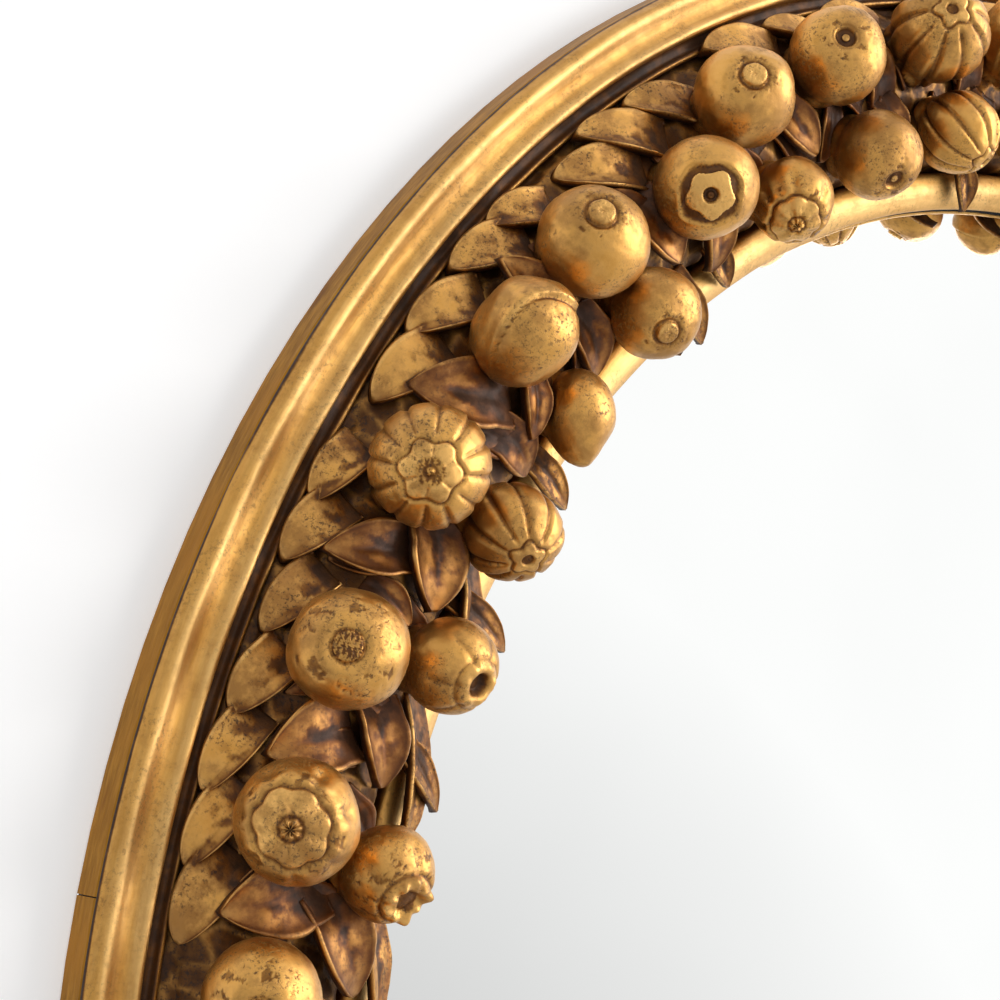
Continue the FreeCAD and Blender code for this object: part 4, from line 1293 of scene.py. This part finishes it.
# Each leaf: base angle and radius, tip angle and radius, width, depth of the tip, rise.
LEAVES = {
    LeafRow.OUTER: (
        Leaf(163.4, 411.0, 167.4, 424.0, 14.0, 19.2, 3.2),
        Leaf(160.6, 413.0, 164.3, 426.0, 12.0, 19.0, 3.0),
        Leaf(157.4, 414.0, 161.2, 426.0, 12.0, 19.0, 3.0),
        Leaf(154.6, 412.0, 157.8, 424.0, 13.0, 19.2, 3.0),
        Leaf(150.6, 411.0, 154.1, 423.0, 12.0, 19.4, 3.0),
        Leaf(147.4, 413.0, 150.9, 425.5, 13.0, 19.0, 3.0),
        Leaf(144.6, 416.0, 148.0, 424.5, 12.0, 19.2, 3.0),
        Leaf(138.4, 410.0, 142.5, 422.5, 15.0, 20.0, 4.0),
        Leaf(135.0, 410.0, 138.8, 425.0, 14.0, 19.2, 3.4),
        Leaf(131.0, 411.0, 134.9, 426.0, 14.0, 19.2, 3.2),
        Leaf(128.6, 413.0, 131.8, 426.0, 12.0, 19.0, 2.6),
        Leaf(123.0, 402.0, 127.2, 421.0, 14.0, 21.0, 4.0),
        Leaf(120.6, 405.0, 124.5, 427.0, 14.0, 19.4, 3.6),
        Leaf(117.2, 408.0, 120.9, 425.0, 13.0, 19.4, 3.0),
        Leaf(109.7, 412.0, 114.3, 428.0, 15.0, 19.4, 3.4),
        Leaf(106.2, 413.0, 109.6, 427.0, 11.0, 19.2, 3.0),
        Leaf(101.2, 412.0, 105.0, 426.0, 13.0, 19.2, 3.2),
        Leaf(94.2, 411.0, 98.0, 425.5, 14.0, 19.2, 3.2),
        Leaf(88.2, 412.0, 91.9, 426.0, 13.0, 19.2, 3.2),
        Leaf(81.8, 411.0, 85.6, 425.0, 13.0, 19.2, 3.2),
    ),
    LeafRow.MIDDLE: (
        Leaf(163.6, 385.0, 165.9, 418.0, 19.0, 31.0, 3.5),
        Leaf(156.6, 388.0, 159.1, 415.0, 18.0, 32.0, 3.5),
        Leaf(147.6, 391.0, 149.9, 419.0, 14.0, 29.0, 3.5),
        Leaf(145.9, 389.0, 149.8, 375.0, 18.0, 35.0, 3.0),
        Leaf(150.4, 402.0, 151.2, 384.0, 9.0, 38.0, 2.0),
        Leaf(155.0, 384.0, 158.8, 371.0, 14.0, 34.0, 3.0),
        Leaf(163.9, 386.0, 168.9, 362.0, 17.0, 30.0, 5.0),
        Leaf(138.0, 386.0, 141.3, 419.0, 18.0, 29.0, 4.0),
        Leaf(139.9, 385.0, 140.0, 362.0, 13.0, 29.0, 3.0),
        Leaf(136.0, 387.0, 139.0, 372.0, 9.0, 36.0, 2.5),
        Leaf(131.8, 388.0, 132.6, 362.0, 13.0, 30.0, 3.0),
        Leaf(133.0, 391.0, 133.6, 420.0, 14.0, 33.0, 4.0),
        Leaf(124.6, 400.0, 124.3, 372.0, 15.0, 37.0, 3.0),
        Leaf(119.6, 384.0, 120.6, 356.0, 12.0, 26.0, 4.0),
        Leaf(112.4, 402.0, 111.2, 377.0, 13.0, 38.0, 2.5),
        Leaf(112.2, 396.0, 112.9, 420.0, 14.0, 28.0, 3.0),
        Leaf(103.8, 390.0, 103.4, 368.0, 12.0, 34.0, 3.0),
        Leaf(103.6, 388.0, 104.6, 417.0, 14.4, 30.0, 3.2),
        Leaf(95.6, 389.0, 96.4, 416.0, 14.0, 31.0, 3.5),
        Leaf(95.8, 388.0, 94.8, 364.0, 12.0, 31.0, 3.0),
        Leaf(88.6, 389.0, 89.2, 416.0, 13.0, 31.0, 3.5),
        Leaf(86.8, 387.0, 86.2, 364.0, 12.0, 31.0, 3.0),
        Leaf(81.6, 396.0, 82.2, 417.0, 12.0, 29.0, 3.0),
    ),
    LeafRow.INNER: (
        Leaf(163.6, 362.0, 171.0, 347.0, 15.0, 23.0, 4.0),
        Leaf(153.4, 362.0, 161.4, 348.0, 14.5, 23.0, 4.0),
        Leaf(155.8, 366.0, 158.6, 336.5, 10.0, 22.0, 3.0),
        Leaf(145.6, 364.0, 151.4, 348.0, 13.0, 23.0, 3.4),
        Leaf(147.7, 363.0, 148.5, 332.0, 10.0, 22.4, 3.0),
        Leaf(138.6, 364.0, 138.9, 336.0, 10.0, 22.0, 3.0),
        Leaf(123.6, 366.0, 123.2, 335.0, 11.0, 22.0, 3.0),
        Leaf(119.9, 366.0, 119.3, 346.0, 9.0, 22.6, 2.0),
        Leaf(95.2, 364.0, 94.6, 341.0, 9.0, 22.0, 3.0),
        Leaf(86.6, 364.0, 87.0, 338.0, 9.0, 22.0, 3.0),
    ),
}


@dataclass
class Garland:
    """The carved fruit and leaves: one quarter is shaped, then used four times."""

    around: int = 112
    rings: int = 66
    leaf_long: int = 36
    leaf_across: int = 25
    rays: int = 14
    reach: float = 26.0
    quarter_start: float = 80.5
    ground_count: int = 38
    ground_grid: tuple[int, int] = (22, 15)
    carved_size: float = 0.985
    foot: float = 0.2
    quadrants: tuple[str, ...] = ("upper_left", "upper_right", "lower_right", "lower_left")

    def fruit_shape(self, fruit: Fruit, seed: int) -> Shape:
        """Carves one fruit.

        Args:
            fruit: its kind and place.
            seed: picks its own unevenness.

        Returns:
            The shape, in place.
        """
        steps = np.linspace(0, 1, self.rings + 2)[1:-1]
        polar = math.pi * (0.62 * steps ** 1.35 + 0.38 * steps ** 3)
        phi = np.linspace(0, 2 * math.pi, self.around, endpoint=False)
        rho_grid = np.concatenate([np.repeat(polar, self.around), [0.0, math.pi]])
        phi_grid = np.concatenate([np.tile(phi, self.rings), [0.0, 0.0]])
        side = np.sin(rho_grid)
        ball = np.stack([side * np.cos(phi_grid), side * np.sin(phi_grid), np.cos(rho_grid)], -1)
        relief = Relief(rho_grid, phi_grid, ball @ fruit.turn().T)
        relief.carve(fruit.crown)
        hand = 0.022 * wobble(ball, 1.9, seed, 2) + 0.005 * wobble(ball, 0.35, seed + 50, 2)
        # The foot of a fruit is left thick, because it is carved out of the same block as the bed.
        down = -relief.way @ self.bed_normal(fruit)
        form = ball * (self.carved_size + relief.height + hand + self.foot * ramp(down, 0.66, 0.82))[:, None]
        if fruit.wood is Wood.PLUM:
            form[:, 2] += 0.12 * ramp(form[:, 2], -0.5, 0.5) * 2 - 0.12
            form[:, :2] *= 0.985
        elif fruit.wood is Wood.LEMON:
            z = form[:, 2]
            form[:, 2] = z * 1.34 + 0.06 * ramp(z, 0.8, 1.0)
            form[:, :2] *= (1.06 - 0.2 * ramp(z, 0.1, 1.0))[:, None]
        points = form * fruit.size * MM @ fruit.turn().T + fruit.centre()
        count = self.rings * self.around
        faces = [
            loft(self.rings, self.around, False, True),
            fan(count, np.arange(self.around))[:, ::-1],
            fan(count + 1, np.arange(count - self.around, count)),
        ]
        faces = [f[:, ::-1] for f in faces]
        return Shape(points, faces, np.clip(relief.wear, 0, 1), np.clip(relief.toning_and_shade, 0, 1))

    def bed_normal(self, fruit: Fruit) -> np.ndarray:
        """Direction out of the bed under a fruit."""
        middle = at(fruit.angle, SIZES.bed_arc_r, SIZES.bed_arc_depth)
        return unit(fruit.centre() - middle)

    def ground_leaves(self) -> list[Shape]:
        """Small leaves that lie close on the bed between the fruit, and point outward and inward in turn."""
        rng = np.random.default_rng(41)
        made = []
        for k in range(self.ground_count):
            angle = self.quarter_start + 90.0 * (k + 0.5) / self.ground_count
            outward = k % 2 == 0
            base_r = 389.0 + rng.uniform(-5.0, 5.0)
            tip_r = base_r + (rng.uniform(17.0, 25.0) if outward else -rng.uniform(17.0, 23.0))
            lean = rng.uniform(0.8, 3.6) if outward else rng.uniform(-2.0, 2.4)
            length = math.hypot(tip_r - base_r, math.radians(lean) * base_r)
            rise = length ** 2 / (8 * SIZES.bed_round) + 0.9
            depth = float(SIZES.bed_height(tip_r)) + 0.9
            leaf = Leaf(angle, base_r, angle + lean, tip_r, rng.uniform(11.0, 15.0), depth, rise)
            made.append(self.leaf_shape(leaf, LeafRow.GROUND, 300 + k, self.ground_grid))
        return made

    def leaf_shape(self, leaf: Leaf, row: LeafRow, seed: int, grid: tuple[int, int] | None = None) -> Shape:
        """Carves one leaf.

        Args:
            leaf: its place and size.
            row: which row it belongs to.
            seed: picks its own unevenness.
            grid: how many vertices along and across it, if not the usual ones.

        Returns:
            The shape, in place.
        """
        s = SIZES
        base = at(leaf.base_angle, leaf.base_r, float(s.bed_height(leaf.base_r)) - 1.0) / MM
        tip = at(leaf.tip_angle, leaf.tip_r, leaf.tip_depth) / MM
        outward, _around, forward = directions((leaf.base_angle + leaf.tip_angle) / 2)
        lean = 0.6 * ((leaf.base_r + leaf.tip_r) / 2 - s.bed_arc_r)
        rise = 0.5 * (leaf.tip_depth + float(s.bed_height(leaf.base_r))) + 8.0
        normal = unit(outward * lean + forward * rise)
        length = float(np.linalg.norm(tip - base))
        along = unit(tip - base)
        across = unit(np.cross(normal, along))
        up = np.cross(along, across)
        long, wide = grid or (self.leaf_long, self.leaf_across)
        u = np.linspace(0.0, 1.0, long)[:, None]
        v = np.linspace(-1.0, 1.0, wide)[None, :]
        blade = row.blade(leaf, seed)
        side, high, line = blade.form(u, v)
        top = np.stack([u * length + 0 * v, side, high + 0 * side], -1)
        under = top.copy()
        under[..., 1] *= 0.93
        under[..., 2] -= blade.thick * (1 - 0.35 * np.abs(v))
        loop = np.concatenate([top, under[:, ::-1]], axis=1)
        rows, columns = loop.shape[:2]
        flat = loop.reshape(-1, 3)
        flat[:, 2] += 0.16 * wobble(flat + 31.0 * seed, 12.0, 11, 2)
        points = (base + flat[:, :1] * along + flat[:, 1:2] * across + flat[:, 2:] * up) * MM
        ends = np.stack([points[:columns].mean(0), points[-columns:].mean(0)])
        count = rows * columns
        faces = [
            loft(rows, columns, False, True),
            fan(count, np.arange(columns)),
            fan(count + 1, np.arange(count - columns, count))[:, ::-1],
        ]
        edge = ramp(np.abs(v), 0.80, 0.97) + 0.6 * ramp(u, 0.86, 1.0)
        wear = np.concatenate([0.35 + 0.65 * edge + 0 * v, 0 * v + 0 * u], axis=1)
        shadow = 0.4 * (1 - ramp(u, 0.1, 0.5)) * (1 - np.abs(v) ** 3)
        # Toning settles in a ragged patch down the middle of each leaf.
        spots = wobble(flat + 17.0 * seed, 7.0, 12, 3).reshape(rows, columns)[:, :wide]
        patch = 0.5 * ramp(spots, -0.3, 0.9) * (1 - ramp(np.abs(v), 0.3, 0.85)) * (1 - ramp(u, 0.5, 0.95))
        # Painted shade: the whole underside is dark and the shadow term darkens each leaf toward its base,
        # while the midrib's cut and the patch hold toning.
        toning_and_shade = np.concatenate([blade.rib * line + shadow + patch, 0 * v + 0 * u + 0.8], axis=1)
        wear, toning_and_shade = (np.concatenate([np.clip(x.ravel(), 0, 1), [0.3, 0.3]]) for x in (wear, toning_and_shade))
        return Shape(np.concatenate([points, ends]), faces, wear, toning_and_shade)

    def shade(self, shapes: dict[str, Shape], ground: Shape) -> None:
        """Finds how much of the room each vertex of the quarter sees.

        Args:
            shapes: the quarter's shapes, whose clear values are filled in.
            ground: the rings under them.
        """
        every = list(shapes.values())
        whole = every[0].joined(every[1:])
        around = [whole, whole.turned(1), whole.turned(-1), ground]
        points = np.concatenate([s.points for s in around])
        starts = np.cumsum([0] + [len(s.points) for s in around])
        polygons = [row for s, start in zip(around, starts) for f in s.faces for row in (f + start).tolist()]
        tree = BVHTree.FromPolygons(points.tolist(), polygons)
        count = self.rays
        turns = [(math.sqrt((k + 0.5) / count), 2.399963 * k) for k in range(count)]
        aims = [(r * math.cos(t), r * math.sin(t), math.sqrt(1 - r * r)) for r, t in turns]
        for shape in every:
            mesh = shape.mesh("probe")
            normals = np.zeros(len(shape.points) * 3, np.float32)
            mesh.vertex_normals.foreach_get("vector", normals)
            bpy.data.meshes.remove(mesh)
            shape.clear = self.seen(shape.points, normals.reshape(-1, 3), aims, tree)

    def seen(self, points: np.ndarray, normals: np.ndarray, aims: list, tree: BVHTree) -> np.ndarray:
        """Share of the open sky over each point.

        Args:
            points: the places.
            normals: their normals.
            aims: directions about +Z.
            tree: what may be in the way.

        Returns:
            1 where nothing is near, 0 where all is closed.
        """
        helper = np.where(np.abs(normals[:, :1]) < 0.8, np.array([[1.0, 0, 0]]), np.array([[0, 1.0, 0]]))
        first = np.cross(normals, helper)
        first /= np.linalg.norm(first, axis=1)[:, None] + 1e-9
        second = np.cross(normals, first)
        starts = points + normals * 0.0003
        far = self.reach * MM
        total = np.zeros(len(points))
        places = [Vector(p) for p in starts.tolist()]
        for a, b, c in aims:
            rays = (first * a + second * b + normals * c).tolist()
            for k, (place, ray) in enumerate(zip(places, rays)):
                hit = tree.ray_cast(place, ray, far)[3]
                if hit is not None:
                    total[k] += 1.0 - (hit / far) ** 0.8
        return 1.0 - total / len(aims)

    def build(self, ground: Shape) -> None:
        """Makes every fruit and leaf.

        Args:
            ground: the rings under the garland.
        """
        groups: dict[str, list[Shape]] = {}
        for index, fruit in enumerate(FRUITS):
            groups.setdefault(fruit.wood.value, []).append(self.fruit_shape(fruit, 100 + index))
        for row, leaves in LEAVES.items():
            seeds = (7 * k + len(leaves) for k in range(len(leaves)))
            groups[row.value] = [self.leaf_shape(leaf, row, seed) for leaf, seed in zip(leaves, seeds)]
        groups[LeafRow.MIDDLE.value] += self.ground_leaves()
        shapes = {name: parts[0].joined(parts[1:]) for name, parts in groups.items()}
        self.shade(shapes, ground)
        # Each of these gildings lays painted shade in the hollows that see little of the room, most strongly
        # on the fruit.
        fruit_gilt = AntiqueGilding("toned_gilding_with_painted_shade_on_carved_fruit").material()
        leaf_gilt = AntiqueGilding(
            "toned_gilding_with_painted_shade_on_carved_leaves", bright="#EDB96C", body="#CE9544", deep="#7E4E20",
            rough=0.40, tone_mm=12.0, specks=0.8, patina=0.6, closed=(0.42, 0.05),
        ).material()
        draped_gilt = AntiqueGilding(
            "brown_toned_gilding_with_painted_shade_on_draped_leaves", bright="#D8A25A", body="#B47A3A", deep="#734522",
            rough=0.40, tone_mm=14.0, specks=0.4, patina=0.65, closed=(0.50, 0.06), ridges=0.25,
        ).material()
        for quarter, corner in enumerate(self.quadrants):
            for name, shape in shapes.items():
                leafy = "leaves" in name
                finish = leaf_gilt if leafy else fruit_gilt
                finish = draped_gilt if name == LeafRow.MIDDLE.value else finish
                piece(f"carved_{name}_{corner}", shape.turned(quarter), finish, [f"{name}_{corner}"])


# ---------------------------------------------------------------- back and inside
@dataclass
class BackAndInside:
    """The parts behind the front: band, packing, board, turn buttons, hangers, screws, dowels and pins."""

    buttons: int = 6
    seam_angle: float = 166.1
    seam_gap: float = 0.4

    def glue_line(self, angle: float, name: str, finish: Material) -> None:
        """Old dark glue in the joint between the two half-rings.

        Args:
            angle: where the joint is, in degrees.
            name: the piece's name.
            finish: its material.
        """
        outward, around, forward = directions(angle)
        half = self.seam_gap / 2
        corners = [
            outward * r + around * t + forward * d
            for r in (384.0, 449.3) for t in (-half, half) for d in (0.4, SIZES.band_depth - 0.4)
        ]
        faces = np.array([(0, 1, 3, 2), (4, 6, 7, 5), (0, 4, 5, 1), (2, 3, 7, 6), (0, 2, 6, 4), (1, 5, 7, 3)])
        blank = np.zeros(len(corners))
        piece(name, Shape(np.array(corners) * MM, [faces], blank, blank), finish, [])

    def build(self) -> None:
        """Dresses the CAD nodes and fills the open joints."""
        glue = PressedSheet("old_hide_glue", "#3A2412", "#1A0F07", spot_mm=0.5, rough=0.4).material()
        self.glue_line(self.seam_angle, "glue_line_left", glue)
        self.glue_line(self.seam_angle + 180.0, "glue_line_right", glue)
        rim = GildedRim().material()
        for half in ("upper", "lower"):
            dress(f"back_ring_{half}", rim, 25.0)
        sheets = {
            "glazing_felt": PressedSheet("black_wool_felt", "#2A2A2B", "#101011", spot_mm=0.5, rough=0.95),
            "rim_spacer": PressedSheet("agglomerated_cork", "#B98E5C", "#6E4A2A", spot_mm=1.6),
            "backing_board": PressedSheet(
                "tempered_hardboard", "#7A5536", "#553620", spot_mm=0.45, rough=0.5, relief=0.25,
            ),
        }
        for node, sheet in sheets.items():
            dress(node, sheet.material())
        brass = WorkedMetal("stamped_brass", "#D9B25A", "#A9823C", rough=0.28).material()
        for number in range(1, self.buttons + 1):
            dress(f"turn_button_{number}", brass)
        dress("button_screws", WorkedMetal("turned_brass_screw", "#CDA553", "#8F6D33", rough=0.3).material())
        zinc = WorkedMetal("zinc_plated_steel", "#BFC2C4", "#8C9094", rough=0.33).material()
        wire = WorkedMetal("zinc_plated_wire", "#C9CCCE", "#9A9DA0", rough=0.25).material()
        for side in ("left", "right"):
            dress(f"hanger_strap_{side}", zinc)
            dress(f"d_ring_{side}", wire)
        steel = WorkedMetal("turned_steel_screw", "#A9ACAF", "#6F7377", rough=0.3).material()
        for node in ("hanger_screws", "frame_screws", "lip_brads"):
            dress(node, steel)
        beech = SawnTimber("turned_beech_dowel").material()
        for node in ("moulding_dowels", "seam_splines", "fruit_pins"):
            dress(node, beech)


# ---------------------------------------------------------------- room, lamps and camera
@dataclass
class Studio:
    """White wall, soft lamps and the camera of the photograph."""

    camera_at: tuple[float, float, float] = (-0.81398, -0.61784, 0.21594)
    focal_px: float = 2377.159
    frame_px: float = 1000.0
    centre_px: tuple[float, float] = (978.709, 1029.093)

    def camera(self) -> None:
        """A camera that sees the frame's centre at its place in the picture."""
        eye = np.array(self.camera_at)
        ahead = unit(-eye)
        right = unit(np.cross(ahead, [0, 0, 1.0]))
        up = np.cross(right, ahead)
        off_axis = (np.array(self.centre_px) - self.frame_px / 2) / self.focal_px
        ray = unit(np.array([*off_axis, 1.0]))
        swing = Vector((0, 0, 1)).rotation_difference(Vector(ray)).to_matrix()
        axes = np.array(swing) @ np.stack([right, -up, ahead])
        turned = Matrix((axes[0], -axes[1], -axes[2])).transposed()
        data = bpy.data.cameras.new("photo_camera")
        data.sensor_width = 36.0
        data.lens = 36.0 * self.focal_px / self.frame_px
        data.clip_start = 0.01
        camera = bpy.data.objects.new("photo_camera", data)
        camera.matrix_world = Matrix.Translation(eye) @ turned.to_4x4()
        bpy.context.scene.collection.objects.link(camera)
        bpy.context.scene.camera = camera

    def wall(self) -> None:
        """The wall behind the frame, which shows only from the front."""
        mesh = bpy.data.meshes.new("wall")
        # The wall has a hole where the frame covers it, so that light reaches the back in views from behind.
        count, behind_mm = 128, 0.3
        radius = np.array([449.3, 900.0, 6000.0])
        turn = np.linspace(0, 2 * math.pi, count, endpoint=False)
        points = revolved(radius, turn, 0 * radius - behind_mm)
        mesh.from_pydata(points.tolist(), [], loft(len(radius), count, False, True)[:, ::-1].tolist())
        mesh.materials.append(self.wall_paint())
        wall = bpy.data.objects.new("wall", mesh)
        bpy.context.scene.collection.objects.link(wall)

    def wall_paint(self) -> Material:
        """White wall paint that shows only from the front."""
        material = bpy.data.materials.new("painted_white_wall")
        material.use_nodes = True
        tree = material.node_tree
        tree.nodes.clear()
        path = add(tree, "LightPath").outputs
        seen = larger(tree, path["Is Glossy Ray"], path["Is Transmission Ray"])
        seen = larger(tree, path["Is Camera Ray"], seen)
        paint = add(tree, "BsdfDiffuse", {"Color": colour("#E6E6E6")})
        white = colour("#FFFFFF")
        glow = add(tree, "Emission", {"Color": white, "Strength": times(tree, seen, 0.35)})
        front = add(tree, "AddShader", {0: paint.outputs[0], 1: glow.outputs[0]})
        # Far from the frame the wall turns into the white surroundings.
        far = distance(tree, object_place(tree))
        fade = times(tree, grade(tree, far, 1.0, 1.8), path["Is Camera Ray"])
        blank = add(tree, "Emission", {"Color": white, "Strength": 1.0})
        front = add(tree, "MixShader", {0: fade, 1: front.outputs[0], 2: blank.outputs[0]})
        back = add(tree, "BsdfTransparent")
        side = add(tree, "NewGeometry").outputs["Backfacing"]
        both = add(tree, "MixShader", {0: side, 1: front.outputs[0], 2: back.outputs[0]})
        add(tree, "OutputMaterial", {"Surface": both.outputs[0]})
        return material

    def world(self) -> None:
        """White surroundings, a little greyer low on the left, and a plain level of light."""
        world = bpy.data.worlds.new("white_room")
        bpy.context.scene.world = world
        world.use_nodes = True
        tree = world.node_tree
        tree.nodes.clear()
        way = add(tree, "TexCoord").outputs["Generated"]
        path = add(tree, "LightPath").outputs
        # A sharp reflection is the glass's own: it shows the room paler above and greyer low in front.
        room = self.level(tree, way, (0.302, 0.567, 0.482), span=(-0.87, -0.27), levels=(0.42, 1.02))
        # A soft reflection is the gilding's: the room is brightest on the side of the windows.
        soft = self.level(tree, way, (0.80, -0.45, 0.40), span=(-0.9, 0.9), levels=(0.48, 1.0))
        windows = self.level(tree, way, (0.76, -0.62, 0.19), span=(0.83, 0.96), levels=(0.0, 3.4))
        soft = add(tree, "Math", {0: soft, 1: windows}, operation="ADD").outputs[0]
        mirrored = add(tree, "Mix", {0: path["Is Singular Ray"], 2: soft, 3: room}).outputs[0]
        seen = larger(tree, path["Is Glossy Ray"], path["Is Transmission Ray"])
        strength = add(tree, "Mix", {0: seen, 2: 0.5, 3: mirrored}).outputs[0]
        strength = add(tree, "Mix", {0: path["Is Camera Ray"], 2: strength, 3: 1.0}).outputs[0]
        back = add(tree, "Background", {"Color": colour("#FFFFFF"), "Strength": strength})
        add(tree, "OutputWorld", {"Surface": back.outputs[0]})

    def level(self, tree: Tree, way: Socket, side: tuple, span: tuple, levels: tuple) -> Socket:
        """Brightness that changes evenly from one side of the room to the other.

        Args:
            tree: the node tree.
            way: the direction's socket.
            side: the direction that grows brighter.
            span: the range along it over which the brightness changes.
            levels: brightness at both ends of the range.

        Returns:
            The brightness's socket.
        """
        toward = add(tree, "VectorMath", {0: way, 1: side}, operation="DOT_PRODUCT").outputs["Value"]
        inputs = {"Value": toward, "From Min": span[0], "From Max": span[1]}
        inputs |= {"To Min": levels[0], "To Max": levels[1]}
        return add(tree, "MapRange", inputs).outputs[0]

    def lamp(self, name: str, place: tuple, size: float, power: float) -> None:
        """One soft square lamp that faces the frame.

        Args:
            name: its name.
            place: where it stands, in metres.
            size: the length of its side.
            power: in watts.
        """
        data = bpy.data.lights.new(name, "AREA")
        data.shape = "SQUARE"
        data.size = size
        data.energy = power
        lamp = bpy.data.objects.new(name, data)
        lamp.visible_glossy = False
        lamp.location = place
        aim = Vector((0, 0, 0)) - Vector(place)
        lamp.rotation_euler = aim.to_track_quat("-Z", "Y").to_euler()
        bpy.context.scene.collection.objects.link(lamp)

    def build(self) -> None:
        """Makes the room."""
        bpy.context.scene.view_settings.view_transform = "Standard"
        self.camera()
        self.wall()
        self.world()
        self.lamp("window_lamp", (2.0, -1.75, 0.45), size=1.5, power=46.0)
        self.lamp("fill_lamp", (-1.5, -2.2, 1.2), size=2.0, power=10.0)
        self.lamp("back_lamp", (0.6, 2.4, 1.4), size=1.6, power=22.0)
        log.info("room, lamps and camera set")


def main() -> None:
    """Builds the room and every part of the mirror."""
    Studio().build()
    rings = TurnedRings().build()
    ConvexGlass().build()
    Garland().build(rings)
    BackAndInside().build()
    log.info("boxes written")


if __name__ == "__main__":
    logging.basicConfig(level=logging.INFO, format="%(message)s")
    main()
